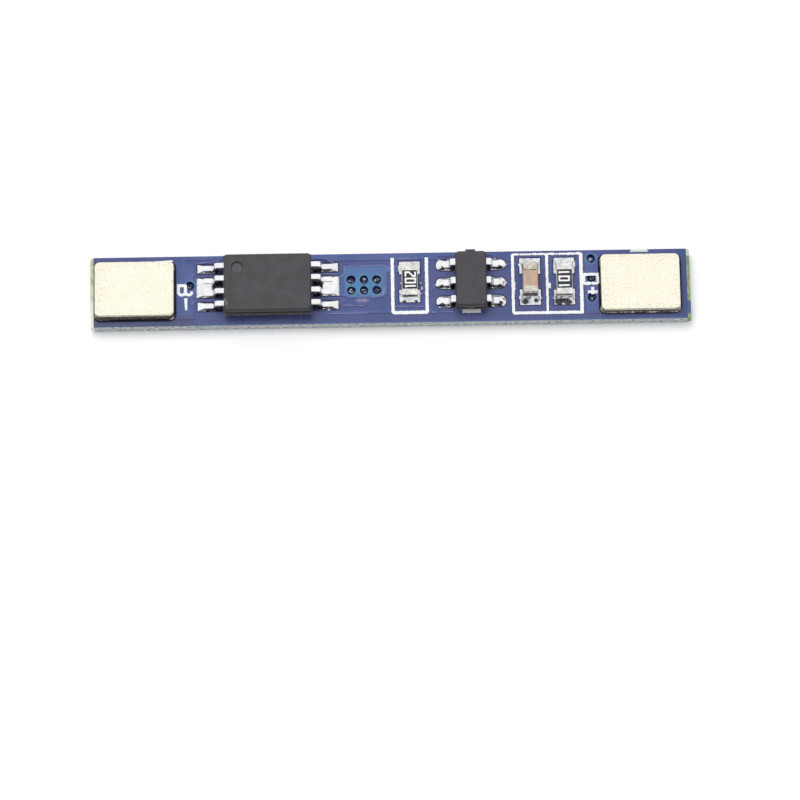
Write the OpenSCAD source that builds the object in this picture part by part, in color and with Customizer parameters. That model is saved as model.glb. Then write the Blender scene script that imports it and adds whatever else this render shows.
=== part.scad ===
// Battery management board for one flat cell: a narrow two-layer circuit board with a
// weldable nickel tab at each end, and a switch chip, a controller chip, two resistors
// and a capacitor soldered in a row between them.
// X runs along the board towards the positive tab, Y towards its back edge, Z up.
// The origin is under the middle of the board, at the lowest face of the output pads.

/* [Laminate] */
// Thickness of the glass-fibre laminate
laminate_t = 0.7; // [0.4:0.05:1.6]
// Thickness of the copper foil on each side
copper_t = 0.035; // [0.018:0.001:0.07]
// Thickness of the solder mask
mask_t = 0.025; // [0.015:0.001:0.04]
// Width of the scored strip at each end, seen from above
score_w = 0.18; // [0.05:0.01:0.3]
// Depth of the scored groove on each face
score_d = 0.2; // [0.05:0.01:0.25]
// Gap between the left end of the board and the negative tab
left_end_gap = 0.25; // [0.22:0.01:2]
// Gap between the positive tab and the right end of the board
right_end_gap = 0.55; // [0.22:0.01:2]
// Gap between each long edge of the board and a tab
tab_side_gap = 0.35; // [0.3:0.01:1.5]
// Length of the bare patch in the mask at the back edge
bare_patch_l = 0.95; // [0.3:0.05:2]
// Depth of the bare patch in the mask at the back edge
bare_patch_w = 0.13; // [0.05:0.01:0.3]

/* [Copper and vias] */
// Width of a signal track
track_w = 0.1; // [0.08:0.01:0.14]
// Width of a supply track
supply_track_w = 0.3; // [0.15:0.01:0.4]
// Clearance between copper areas
copper_gap = 0.06; // [0.04:0.01:0.15]
// Clearance between copper and the edge of the board
copper_edge = 0.07; // [0.04:0.01:0.3]
// How far the mask stands back from a pad
mask_clear = 0.05; // [0.02:0.01:0.08]
// How far the mask reaches down beside a track
mask_step = 0.03; // [0.02:0.005:0.05]
// Inside diameter of a plated via
via_d = 0.36; // [0.2:0.01:0.45]
// Wall of the plating in a via
via_wall = 0.03; // [0.02:0.005:0.05]
// Width of the copper ring round a via
via_ring_w = 0.08; // [0.05:0.01:0.1]
// Spacing of the output vias along the board
via_pitch_x = 0.64; // [0.6:0.01:1]
// Spacing of the output vias across the board
via_pitch_y = 0.56; // [0.56:0.01:0.8]
// Number of columns of output vias
via_columns = 3; // [1:1:5]
// Number of rows of output vias
via_rows = 2; // [1:1:2]
// Spacing of the positive vias across the board
plus_via_pitch = 1.0; // [0.7:0.05:1.1]
// Number of positive vias
plus_vias = 3; // [1:1:3]

/* [Output pads] */
// Length of each output pad on the underside
output_pad_l = 3.5; // [2:0.1:5]
// Width of each output pad on the underside
output_pad_w = 2.4; // [1.5:0.1:3]
// Thickness of the tin on the output pads
tin_t = 0.05; // [0.03:0.005:0.1]
// Gap between an output pad and its vias
output_pad_gap = 0.8; // [0.3:0.05:1.5]

/* [Tabs] */
// Length of each nickel tab
tab_l = 3.95; // [2.5:0.05:6]
// Width of each nickel tab
tab_w = 2.9; // [2.2:0.05:4]
// Thickness of each nickel tab
tab_t = 0.4; // [0.2:0.01:0.6]
// Corner radius of a tab, seen from above
tab_corner_r = 0.25; // [0.1:0.01:0.6]
// Radius of the rolled upper edge of a tab
tab_edge_r = 0.1; // [0.03:0.01:0.18]
// Thickness of the solder under a tab
tab_solder_t = 0.06; // [0.03:0.005:0.15]
// Width of the solder rim round a tab
tab_rim = 0.06; // [0.03:0.01:0.12]

/* [Row of parts] */
// Space for the negative mark and its via, between the tab and the switch pads
minus_mark_l = 1.17; // [1.1:0.01:2.5]
// Distance from the negative tab to its via
minus_via_gap = 0.79; // [0.4:0.01:0.85]
// Gap from the switch pads to the first column of output vias
via_lead_in = 0.65; // [0.5:0.01:1.5]
// Gap from the last column of output vias to the sense resistor's frame
via_lead_out = 0.79; // [0.5:0.01:1.5]
// Gap from the sense resistor's frame to the controller pads
sense_gap = 0.47; // [0.3:0.01:1.5]
// Gap from the controller pads to the supply frame
supply_gap = 0.36; // [0.3:0.01:1.5]
// Space for the positive mark and its vias, between the supply frame and the tab
plus_mark_l = 0.95; // [0.95:0.01:2.5]
// Distance from the supply frame to the positive vias
plus_via_gap = 0.5; // [0.45:0.01:0.55]
// How far the row of parts sits behind the middle line
row_y = 0.21; // [0:0.01:0.25]
// How far the sense resistor sits behind the rest of the row
sense_back = 0.08; // [0:0.01:0.1]
// How far the switch chip sits behind the middle line
mosfet_y = 0.14; // [0:0.01:0.15]
// How far the controller chip sits behind the middle line
controller_y = 0.18; // [0.1:0.01:0.22]

/* [Formed leads] */
// Thickness of the lead frame
lead_t = 0.15; // [0.1:0.01:0.2]
// Inside radius of a lead's bends
bend_r = 0.08; // [0.05:0.01:0.1]
// Lean of a lead's leg away from upright, in degrees
lead_lean = 8; // [2:1:15]
// Thickness of the solder between a foot or a chip and its pad
film_t = 0.02; // [0.01:0.005:0.04]
// Draft of the moulded housings, in degrees
mould_draft = 7; // [3:1:12]
// Corner radius of the moulded housings, seen from above
mould_corner_r = 0.1; // [0.03:0.01:0.2]

/* [Switch chip] */
// Width of the switch housing along the board
mosfet_body_x = 4.4; // [4:0.1:5]
// Length of the switch housing across the board
mosfet_body_y = 3.0; // [2.8:0.1:3.2]
// Thickness of the switch housing
mosfet_body_t = 0.95; // [0.8:0.05:1.2]
// Height of the switch housing above its feet
mosfet_standoff = 0.1; // [0.05:0.01:0.15]
// Spacing of the switch leads
mosfet_pitch = 0.65; // [0.6:0.01:0.68]
// Width of a switch lead
mosfet_lead_w = 0.28; // [0.19:0.01:0.3]
// Straight length of a switch lead outside the housing
mosfet_shoulder = 0.26; // [0.1:0.01:0.4]
// Flat length of a switch foot
mosfet_foot = 0.4; // [0.2:0.01:0.5]
// How far a switch pad reaches past the foot
mosfet_toe = 0.31; // [0.1:0.01:0.4]
// Width of a switch pad
mosfet_pad_w = 0.45; // [0.32:0.01:0.5]
// Diameter of the dimple that marks the first lead
dimple_d = 0.55; // [0.3:0.01:0.7]
// Depth of the dimple
dimple_deep = 0.05; // [0.02:0.01:0.1]
// Distance of the dimple from the housing's two edges
dimple_inset = 0.69; // [0.5:0.01:0.9]

/* [Controller chip] */
// Width of the controller housing along the board
controller_body_x = 1.6; // [1.5:0.05:1.8]
// Length of the controller housing across the board
controller_body_y = 2.9; // [2.8:0.05:3]
// Thickness of the controller housing
controller_body_t = 0.95; // [0.9:0.05:1.3]
// Height of the controller housing above its feet
controller_standoff = 0.05; // [0.03:0.01:0.15]
// Spacing of the controller leads
controller_pitch = 0.95; // [0.85:0.01:1]
// Width of a controller lead
controller_lead_w = 0.35; // [0.3:0.01:0.5]
// Straight length of a controller lead outside the housing
controller_shoulder = 0.05; // [0.03:0.01:0.2]
// Flat length of a controller foot
controller_foot = 0.2; // [0.15:0.01:0.4]
// How far a controller pad reaches past the foot
controller_toe = 0.355; // [0.1:0.005:0.4]
// Width of a controller pad
controller_pad_w = 0.56; // [0.52:0.01:0.6]
// Width of the controller's tie bar
controller_tie_w = 0.4; // [0.2:0.05:0.5]
// How far the cut tie bar stands out at the back of the controller
tie_stub = 0.13; // [0.02:0.01:0.15]

/* [Chip resistors and capacitor] */
// Length of the resistors and the capacitor
chip_l = 1.6; // [1.5:0.05:1.7]
// Width of the resistors and the capacitor
chip_w = 0.8; // [0.7:0.05:0.9]
// Thickness of a resistor
resistor_t = 0.45; // [0.35:0.01:0.55]
// Thickness of the capacitor
capacitor_t = 0.8; // [0.6:0.05:0.9]
// Length of a resistor's end cap
resistor_cap_l = 0.34; // [0.2:0.01:0.45]
// Length of the capacitor's end cap
capacitor_cap_l = 0.4; // [0.25:0.01:0.5]
// Thickness of the metal on an end cap
cap_t = 0.025; // [0.015:0.005:0.05]
// Edge radius of the capacitor's ceramic
ceramic_r = 0.08; // [0.03:0.01:0.15]
// Width of a resistor or capacitor pad
chip_pad_w = 1.03; // [0.95:0.01:1.1]
// Length of a resistor or capacitor pad under the end cap
chip_pad_in = 0.4; // [0.2:0.01:0.5]
// How far a pad of the sense resistor reaches past the chip
sense_toe = 0.25; // [0.15:0.01:0.35]
// How far a pad of the capacitor or the supply resistor reaches past the chip
supply_toe = 0.41; // [0.2:0.01:0.45]
// Height of the solder on a resistor's end
resistor_wet = 0.32; // [0.15:0.01:0.33]
// Height of the solder on the capacitor's end
capacitor_wet = 0.5; // [0.2:0.01:0.55]

/* [Printed legend] */
// Thickness of the printed ink over a track
legend_t = 0.015; // [0.01:0.001:0.03]
// Width of the printed line round the sense resistor
sense_line_w = 0.17; // [0.1:0.01:0.2]
// Width of the printed line round the supply parts
supply_line_w = 0.16; // [0.1:0.01:0.25]
// Gap between a pad and the printed line beside it
frame_side_gap = 0.34; // [0.3:0.01:0.5]
// Gap between the sense resistor's front pad and the printed line in front of it
sense_front_gap = 0.54; // [0.3:0.01:0.6]
// Gap between the front pads of the supply parts and the printed line in front of them
frame_front_gap = 0.42; // [0.3:0.01:0.6]
// Gap between a pad and the end of the print behind it
frame_back_gap = 0.2; // [0.15:0.01:0.25]
// Length of the printed bar in front of the controller
bar_l = 0.94; // [0.5:0.01:1.5]
// Width of the printed bar in front of the controller
bar_w = 0.2; // [0.1:0.01:0.3]

/* [Hidden] */
$fn = 48;
LEFT = -1;
RIGHT = 1;
BACK = 1;
FRONT = -1;

// Levels, counted up from the lowest face of the output pads.
laminate_z = tin_t + copper_t;
top_z = laminate_z + laminate_t;
pad_z = top_z + copper_t;
tab_z = pad_z + tab_solder_t;
// How far a cutter reaches past what it cuts.
over = 0.2;

// Formed leads: a shoulder, a bend, a leaning leg, a second bend and a flat foot.
lead_turn = 90 - lead_lean;
bend_steps = 8;
bend_mid_r = bend_r + lead_t / 2;
function leg_l(h) = (h - lead_t / 2 - 2 * bend_mid_r * (1 - cos(lead_turn))) / sin(lead_turn);
function lead_run(h) = 2 * bend_mid_r * sin(lead_turn) + leg_l(h) * cos(lead_turn);
mosfet_lead_h = mosfet_standoff + mosfet_body_t / 2;
controller_lead_h = controller_standoff + controller_body_t / 2;
mosfet_tip = mosfet_body_x / 2 + mosfet_shoulder + lead_run(mosfet_lead_h) + mosfet_foot;
controller_tip = controller_body_x / 2 + controller_shoulder + lead_run(controller_lead_h)
    + controller_foot;
mosfet_pad_out = mosfet_tip + mosfet_toe;
controller_pad_out = controller_tip + controller_toe;

// Solder on a formed lead: how high it climbs at the heel, the toe and the sides of the foot,
// as shares of the lead's thickness, and how far it reaches past the sides.
heel_share = 1.3;
toe_share = 0.9;
side_share = 0.6;
heel_rise = lead_t * heel_share;
toe_rise = lead_t * toe_share;
side_rise = lead_t * side_share;
solder_side = 0.055;
// How far the solder's mounds stay inside their pads.
pad_rim = 0.02;
// Solder on a resistor or the capacitor: how high it climbs at the sides and under the end,
// as a share of its height on the end, and the most it may climb at the sides.
flank_share = 0.6;
flank_limit = 0.2;

// Frames of the legend: half widths, counted between the middles of their lines.
sense_frame = chip_pad_w + 2 * frame_side_gap;
supply_frame = chip_pad_w + 2 * frame_side_gap;

// The row along the board, built up from the left end.
row_l = left_end_gap + 2 * tab_l + minus_mark_l + 2 * mosfet_pad_out + via_lead_in
    + (via_columns - 1) * via_pitch_x + via_lead_out + sense_frame + sense_gap
    + 2 * controller_pad_out + supply_gap + 2 * supply_frame + plus_mark_l + right_end_gap;
board_l = row_l;
minus_tab_x = -board_l / 2 + left_end_gap + tab_l / 2;
minus_via_x = minus_tab_x + tab_l / 2 + minus_via_gap;
mosfet_x = minus_tab_x + tab_l / 2 + minus_mark_l + mosfet_pad_out;
via_x = mosfet_x + mosfet_pad_out + via_lead_in;
via_end_x = via_x + (via_columns - 1) * via_pitch_x;
sense_x = via_end_x + via_lead_out + sense_frame / 2;
controller_x = sense_x + sense_frame / 2 + sense_gap + controller_pad_out;
supply_left_x = controller_x + controller_pad_out + supply_gap;
capacitor_x = supply_left_x + supply_frame / 2;
supply_x = capacitor_x + supply_frame;
supply_right_x = supply_x + supply_frame / 2;
plus_via_x = supply_right_x + plus_via_gap;
plus_tab_x = supply_right_x + plus_mark_l + tab_l / 2;

// Ends of the pads across the board, and the board's width, which clears all it carries.
sense_pad_out = chip_l / 2 + sense_toe;
supply_pad_out = chip_l / 2 + supply_toe;
frame_back_y = row_y + supply_pad_out + frame_back_gap;
frame_front_y = row_y - supply_pad_out - frame_front_gap;
sense_y = row_y + sense_back;
// Least distance from the switch housing to a long edge of the board.
housing_edge = 0.1;
board_w = 2 * max(tab_w / 2 + tab_side_gap, mosfet_y + mosfet_body_y / 2 + housing_edge,
    controller_y + controller_body_y / 2 + tie_stub + copper_edge / 2,
    frame_back_y + supply_line_w / 2 + copper_edge);
mask_x = board_l / 2 - score_w;

// Vias: how far each group sits behind the middle of the row.
output_via_back = 0.24;
plus_via_back = 0.14;
minus_via_back = 0.06;
barrel_d = via_d + 2 * via_wall;
ring_d = barrel_d + 2 * via_ring_w;
via_y = row_y + output_via_back;
output_via_places = [for (i = [0 : via_columns - 1], j = [0 : via_rows - 1])
    [via_x + i * via_pitch_x, via_y - j * via_pitch_y]];
plus_via_places = [for (i = [0 : plus_vias - 1])
    [plus_via_x, row_y + plus_via_back + ((plus_vias - 1) / 2 - i) * plus_via_pitch]];
via_places = concat([[minus_via_x, row_y + minus_via_back]], output_via_places, plus_via_places);

// Rows of leads, from the back row to the front row.
mosfet_rows = [1.5, 0.5, -0.5, -1.5];
controller_rows = [1, 0, -1];
// A pad for two leads is trimmed at both its sides.
double_pad_trim = 0.045;
double_pad_w = mosfet_pitch + mosfet_pad_w - 2 * double_pad_trim;
// The switch pads end short of the housing, the controller pads reach under it.
mosfet_pad_gap = 0.1;
controller_pad_under = 0.1;
mosfet_pad_l = mosfet_pad_out - mosfet_body_x / 2 - mosfet_pad_gap;
controller_pad_l = controller_pad_out - controller_body_x / 2 + controller_pad_under;
function mosfet_row_y(row) = mosfet_y + mosfet_rows[row] * mosfet_pitch;
function controller_row_y(row) = controller_y + controller_rows[row] * controller_pitch;
// Lead n counts down the left side and up the right side.
function mosfet_side(n) = n <= 4 ? LEFT : RIGHT;
function mosfet_row(n) = n <= 4 ? n - 1 : 8 - n;
function controller_side(n) = n <= 3 ? LEFT : RIGHT;
function controller_row(n) = n <= 3 ? n - 1 : 6 - n;

// Tracks along the back edge, from the outermost inwards.
edge_y = board_w / 2 - copper_edge - track_w / 2;
edge2_y = edge_y - track_w - copper_gap;
// How far inside a chip's pad a track ends, and how far one copper area overlaps the next.
track_in = 0.35;
area_lap = 0.2;
sense_high = sense_y + sense_pad_out - track_in;
// Gap between the negative area and the switch's signal pads, and its inset at the back.
minus_area_gap = 0.22;
minus_area_inset = 0.1;
// How far the output area reaches past its vias' rings in front and at the left, at the right
// and at the back, and the cut across its corners.
output_margin = 0.08;
output_margin_right = 0.18;
output_margin_back = 0.44;
output_corner = 0.22;
// How far the positive area reaches past its tab at the back.
plus_area_over = 0.05;
// Where the tracks turn, counted along X from the pads at which they start or end.
ground_drop = 0.3;
first_gate_turn = 0.5;
second_gate_turns = [0.2, 0.6];
sense_turn = 0.45;
supply_turn = 0.65;
// Copper on the underside: its margin beside the output pads, past the rings at its ends,
// between the two negative areas, and past the positive output pad.
bottom_margin = 0.15;
bottom_end = 0.1;
bottom_gap = 0.4;
bottom_lead = 0.3;
// Corner radius of an output pad, and slant at each end of the bare patch.
output_pad_r = 0.3;
bare_patch_slant = 0.15;

// Inside the switch: the paddle under its die, the gap to its leads and its tie bars.
paddle_x = 2.5;
paddle_y = 2.2;
paddle_gap = 0.2;
bridge_lap = 0.05;
mosfet_tie_w = 0.3;
mosfet_die = [1.7, 1.9, 0.2];
// Inside the controller: its paddle, its die and how near the middle its leads start.
controller_paddle = [0.55, 1.5];
controller_die = [0.45, 0.9, 0.2];
controller_post_in = 0.42;
// How far inside the housing a trimmed tie bar ends.
tie_trim = 0.01;
// Thickness of the thin plates between which a housing is spanned.
mould_skin = 0.001;

// Output pads on the underside.
minus_output_x = via_x - ring_d / 2 - output_pad_gap - output_pad_l / 2;
plus_output_x = plus_via_x - ring_d / 2 - output_pad_gap - output_pad_l / 2;

// ---- Plain shapes ----

// A rectangle between two corners, grown by g on every side.
module span(x0, x1, y0, y1, g = 0) {
    translate([x0 - g, y0 - g]) square([x1 - x0 + 2 * g, y1 - y0 + 2 * g]);
}

// A rectangle about a middle point, grown by g on every side.
module pad(x, y, l, w, g = 0) {
    span(x - l / 2, x + l / 2, y - w / 2, y + w / 2, g);
}

// A rectangle with round corners about the origin.
module round_rect(l, w, r) {
    square([l - 2 * r, w], center = true);
    square([l, w - 2 * r], center = true);
    for (x = [-1, 1], y = [-1, 1])
        translate([x * (l / 2 - r), y * (w / 2 - r)]) circle(r);
}

// A bar with round ends about a middle point, grown by g.
module slot_pad(x, y, l, w, g = 0) {
    pad(x, y, l - w, w + 2 * g);
    for (side = [-1, 1]) translate([x + side * (l - w) / 2, y]) circle(w / 2 + g);
}

// A rectangle with its corners cut at 45 degrees, grown by g.
module cut_corners(x0, x1, y0, y1, c, g = 0) {
    d = c - g * (sqrt(2) - 1) + g;
    translate([x0 - g, y0 - g]) difference() {
        square([x1 - x0 + 2 * g, y1 - y0 + 2 * g]);
        for (corner = [[0, 0], [1, 0], [0, 1], [1, 1]])
            translate([corner[0] * (x1 - x0 + 2 * g), corner[1] * (y1 - y0 + 2 * g)])
                rotate(45) square(d * sqrt(2), center = true);
    }
}

// A track of one width through a list of points, with round ends.
module track(points, w) {
    for (i = [0 : len(points) - 2]) {
        step = points[i + 1] - points[i];
        translate(points[i]) rotate(atan2(step[1], step[0]))
            translate([0, -w / 2]) square([norm(step), w]);
    }
    for (p = points) translate(p) circle(w / 2);
}

// A plate of a flat shape, from z upwards.
module plate(z, t) {
    translate([0, 0, z]) linear_extrude(t) children();
}

// A flat profile in X and Z, extruded along Y about the middle.
module along_y(w) {
    rotate([90, 0, 0]) linear_extrude(w, center = true) children();
}

// A flat profile in Y and Z, extruded along X about the middle.
module along_x(l) {
    rotate([90, 0, 90]) linear_extrude(l, center = true) children();
}

// ---- Board ----

// Profile of the board's length: both faces are scored at the ends and the web is snapped.
module laminate_profile() {
    end = board_l / 2;
    polygon([[-end + score_w, 0], [end - score_w, 0], [end, score_d],
        [end, laminate_t - score_d], [end - score_w, laminate_t], [-end + score_w, laminate_t],
        [-end, laminate_t - score_d], [-end, score_d]]);
}

module laminate() {
    color("darkseagreen") difference() {
        translate([0, 0, laminate_z]) along_y(board_w) laminate_profile();
        for (p = via_places)
            translate([p[0], p[1], laminate_z - over]) cylinder(laminate_t + 2 * over, d = barrel_d);
    }
}

module via_barrels() {
    color("peru") for (p = via_places)
        translate([p[0], p[1], tin_t]) difference() {
            cylinder(laminate_t + 2 * copper_t, d = barrel_d);
            translate([0, 0, -over]) cylinder(laminate_t + 2 * copper_t + 2 * over, d = via_d);
        }
}

// ---- Top copper ----

module mosfet_pads(g = 0) {
    pad_x = mosfet_pad_out - mosfet_pad_l / 2;
    for (side = [-1, 1]) {
        for (row = [0, 3])
            pad(mosfet_x + side * pad_x, mosfet_row_y(row), mosfet_pad_l, mosfet_pad_w, g);
        pad(mosfet_x + side * pad_x, mosfet_y, mosfet_pad_l, double_pad_w, g);
    }
}

module controller_pads(g = 0) {
    pad_x = controller_pad_out - controller_pad_l / 2;
    for (side = [-1, 1], row = [0 : 2])
        slot_pad(controller_x + side * pad_x, controller_row_y(row), controller_pad_l,
            controller_pad_w, g);
}

// The two pads of a resistor or the capacitor.
module chip_pads(x, y, pad_out, g = 0) {
    l = pad_out - chip_l / 2 + chip_pad_in;
    for (side = [-1, 1])
        pad(x, y + side * (pad_out - l / 2), chip_pad_w, l, g);
}

module tab_pad(x, g = 0) {
    translate([x, 0])
        round_rect(tab_l + 2 * (tab_rim + g), tab_w + 2 * (tab_rim + g), tab_corner_r + tab_rim + g);
}

module all_pads(g = 0) {
    mosfet_pads(g);
    controller_pads(g);
    chip_pads(sense_x, sense_y, sense_pad_out, g);
    chip_pads(capacitor_x, row_y, supply_pad_out, g);
    chip_pads(supply_x, row_y, supply_pad_out, g);
    tab_pad(minus_tab_x, g);
    tab_pad(plus_tab_x, g);
}

// Negative cell terminal: the tab's pad, its via and the switch's first source pad.
module minus_area(g = 0) {
    end = mosfet_x - mosfet_pad_out - minus_area_gap;
    span(minus_tab_x, end, -tab_w / 2, tab_w / 2 - minus_area_inset, g);
    span(end - area_lap, mosfet_x - mosfet_pad_out + area_lap, mosfet_y - double_pad_w / 2,
        mosfet_y + double_pad_w / 2, g);
}

// Negative output: the switch's second source pad and the field of vias.
module output_area(g = 0) {
    margin = ring_d / 2 + output_margin;
    cut_corners(via_x - margin, via_end_x + ring_d / 2 + output_margin_right,
        via_y - (via_rows - 1) * via_pitch_y - margin, via_y + ring_d / 2 + output_margin_back,
        output_corner, g);
    span(mosfet_x + mosfet_pad_out - area_lap, via_x, mosfet_y - double_pad_w / 2,
        mosfet_y + double_pad_w / 2, g);
    track([[via_end_x, sense_high], [sense_x, sense_high]], supply_track_w + 2 * g);
}

// Positive cell terminal: the tab's pad, its vias and the feed of the supply resistor.
module plus_area(g = 0) {
    span(plus_via_x - ring_d / 2, plus_tab_x, -tab_w / 2, tab_w / 2 + plus_area_over, g);
    high = row_y + supply_pad_out - track_in;
    track([[supply_x, high], [plus_via_x, high]], supply_track_w + 2 * g);
}

// Ground of the controller and the capacitor, along the back edge to the negative tab.
module ground_track(g = 0) {
    start = [controller_x + controller_pad_out - controller_pad_l / 2, controller_row_y(0)];
    bus_x = minus_via_x - ground_drop;
    track([start, [start[0], edge_y], [bus_x, edge_y], [bus_x, tab_w / 2 - area_lap]],
        track_w + 2 * g);
    track([start, [capacitor_x, row_y + supply_pad_out - track_in]], track_w + 2 * g);
}

// Gate of the first transistor: from the controller's first lead, under the switch chip.
module first_gate_track(g = 0) {
    start = [controller_x - controller_pad_out + controller_pad_l / 2, controller_row_y(0)];
    under_x = mosfet_x + mosfet_body_x / 4;
    foot_y = mosfet_row_y(3);
    track([start, [start[0] - first_gate_turn, edge2_y], [under_x, edge2_y], [under_x, foot_y],
        [mosfet_x - mosfet_pad_out + mosfet_pad_l / 2, foot_y]], track_w + 2 * g);
}

// Gate of the second transistor: along the front, past the sense resistor.
module second_gate_track(g = 0) {
    low = min(mosfet_row_y(3) - mosfet_pad_w / 2, sense_y - sense_pad_out) - copper_gap
        - mask_clear - track_w / 2;
    start = [mosfet_x + mosfet_pad_out - mosfet_pad_l / 2, mosfet_row_y(3)];
    end = [controller_x - controller_pad_out + controller_pad_l / 2, controller_row_y(2)];
    track([start, [start[0] + second_gate_turns[0], low], [end[0] - second_gate_turns[1], low],
        end], track_w + 2 * g);
}

module sense_track(g = 0) {
    end = [controller_x - controller_pad_out + controller_pad_l / 2, controller_row_y(1)];
    track([[sense_x, sense_y - sense_pad_out + track_in],
        [sense_x + sense_frame / 2, end[1] - sense_turn], [end[0] - sense_turn, end[1]], end],
        track_w + 2 * g);
}

module supply_track(g = 0) {
    low = row_y - supply_pad_out + track_in;
    start = [controller_x + controller_pad_out - controller_pad_l / 2, controller_row_y(1)];
    track([start, [start[0] + supply_turn, start[1]], [capacitor_x - chip_pad_w / 2, low],
        [supply_x, low]], track_w + 2 * g);
}

module via_rings(g = 0) {
    for (p = via_places) translate(p) circle(ring_d / 2 + g);
}

module copper_top_shape(g = 0) {
    all_pads(g);
    minus_area(g);
    output_area(g);
    plus_area(g);
    ground_track(g);
    first_gate_track(g);
    second_gate_track(g);
    sense_track(g);
    supply_track(g);
    via_rings(g);
}

module via_holes(z, t, d) {
    for (p = via_places) translate([p[0], p[1], z - over]) cylinder(t + 2 * over, d = d);
}

module copper_top() {
    color("goldenrod") difference() {
        plate(top_z, copper_t) copper_top_shape();
        via_holes(top_z, copper_t, barrel_d);
    }
}

// ---- Bottom copper ----

module copper_bottom_shape(g = 0) {
    half = output_pad_w / 2 + bottom_margin;
    minus_end = minus_via_x + ring_d / 2 + bottom_end;
    span(minus_tab_x - tab_l / 2, minus_end, -half, half, g);
    span(minus_end + bottom_gap, via_end_x + ring_d / 2 + bottom_end, -half, half, g);
    span(plus_output_x - output_pad_l / 2 - bottom_lead, plus_via_x + ring_d / 2 + bottom_end,
        -half, max(half, plus_via_places[0][1] + ring_d / 2), g);
}

module copper_bottom() {
    color("goldenrod") difference() {
        plate(tin_t, copper_t) copper_bottom_shape();
        via_holes(tin_t, copper_t, barrel_d);
    }
}

module output_pad_shape(x, g = 0) {
    translate([x, 0]) round_rect(output_pad_l + 2 * g, output_pad_w + 2 * g, output_pad_r + g);
}

module output_minus_tin() {
    color("silver") plate(0, tin_t) output_pad_shape(minus_output_x);
}

module output_plus_tin() {
    color("silver") plate(0, tin_t) output_pad_shape(plus_output_x);
}

// ---- Solder mask ----

module bare_patch() {
    y = board_w / 2 - bare_patch_w;
    polygon([[plus_tab_x - bare_patch_l / 2, y], [plus_tab_x + bare_patch_l / 2, y],
        [plus_tab_x + bare_patch_l / 2 - bare_patch_slant, y + bare_patch_w + over],
        [plus_tab_x - bare_patch_l / 2 + bare_patch_slant, y + bare_patch_w + over]]);
}

// The mask's outer form: it lies on the laminate and steps up over the copper.
module mask_top_form() {
    plate(top_z, mask_t) square([2 * mask_x, board_w], center = true);
    plate(top_z, copper_t + mask_t) copper_top_shape(mask_step);
}

module mask_top() {
    color("slategray") difference() {
        mask_top_form();
        plate(top_z - over, copper_t + over) copper_top_shape();
        plate(top_z - over, mask_t + copper_t + 2 * over) all_pads(mask_clear);
        plate(top_z - over, mask_t + copper_t + 2 * over) bare_patch();
        via_holes(top_z, copper_t + mask_t, barrel_d);
    }
}

module mask_bottom() {
    low = tin_t - mask_t;
    color("slategray") difference() {
        union() {
            plate(laminate_z - mask_t, mask_t) square([2 * mask_x, board_w], center = true);
            plate(low, copper_t + mask_t) copper_bottom_shape(mask_step);
        }
        plate(tin_t, copper_t + over) copper_bottom_shape();
        for (x = [minus_output_x, plus_output_x])
            plate(low - over, copper_t + mask_t + 2 * over) output_pad_shape(x, mask_clear);
        via_holes(low, copper_t + mask_t, barrel_d);
    }
}

// ---- Printed legend ----

// A straight printed line between two points that share an X or a Y.
module line(a, b, w) {
    span(min(a[0], b[0]), max(a[0], b[0]), min(a[1], b[1]), max(a[1], b[1]), w / 2);
}

module legend_shape() {
    // Round the sense resistor the frame is open at the back.
    front = sense_y - sense_pad_out - sense_front_gap;
    back = sense_y + sense_pad_out + frame_back_gap;
    for (side = [-1, 1])
        line([sense_x + side * sense_frame / 2, front], [sense_x + side * sense_frame / 2, back],
            sense_line_w);
    line([sense_x - sense_frame / 2, front], [sense_x + sense_frame / 2, front], sense_line_w);
    // Round the supply parts it is closed, with a line between the two.
    for (i = [0 : 2])
        line([supply_left_x + i * supply_frame, frame_front_y],
            [supply_left_x + i * supply_frame, frame_back_y], supply_line_w);
    for (y = [frame_front_y, frame_back_y])
        line([supply_left_x, y], [supply_right_x, y], supply_line_w);
    // The middle of the bar lies under the front edge of the controller.
    pad(controller_x, controller_y - controller_body_y / 2, bar_l, bar_w);
}

module legend_print() {
    color("white") difference() {
        plate(top_z, copper_t + mask_t + legend_t) legend_shape();
        mask_top_form();
    }
}

// ---- Tabs ----

// One punched tab, with its upper edges rolled over.
module tab_plate() {
    intersection() {
        linear_extrude(tab_t) round_rect(tab_l, tab_w, tab_corner_r);
        along_y(tab_w + over) rolled_profile(tab_l, tab_t, tab_edge_r);
        along_x(tab_l + over) rolled_profile(tab_w, tab_t, tab_edge_r);
    }
}

// A rectangle that stands on the X axis, with its two upper corners rounded.
module rolled_profile(l, t, r) {
    translate([-l / 2, 0]) square([l, t - r]);
    translate([-l / 2 + r, 0]) square([l - 2 * r, t]);
    for (side = [-1, 1]) translate([side * (l / 2 - r), t - r]) circle(r);
}

module negative_tab() {
    color("lightgray") translate([minus_tab_x, 0, tab_z]) tab_plate();
}

module positive_tab() {
    color("lightgray") translate([plus_tab_x, 0, tab_z]) tab_plate();
}

module negative_tab_solder() {
    color("wheat") plate(pad_z, tab_solder_t) tab_pad(minus_tab_x);
}

module positive_tab_solder() {
    color("wheat") plate(pad_z, tab_solder_t) tab_pad(plus_tab_x);
}

// ---- Formed leads ----

// Points of an arc about c, from angle a to angle b, counted from straight up towards +X.
function arc(c, r, a, b) = [for (i = [0 : bend_steps]) let (t = a + (b - a) * i / bend_steps)
    c + r * [sin(t), cos(t)]];

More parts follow.
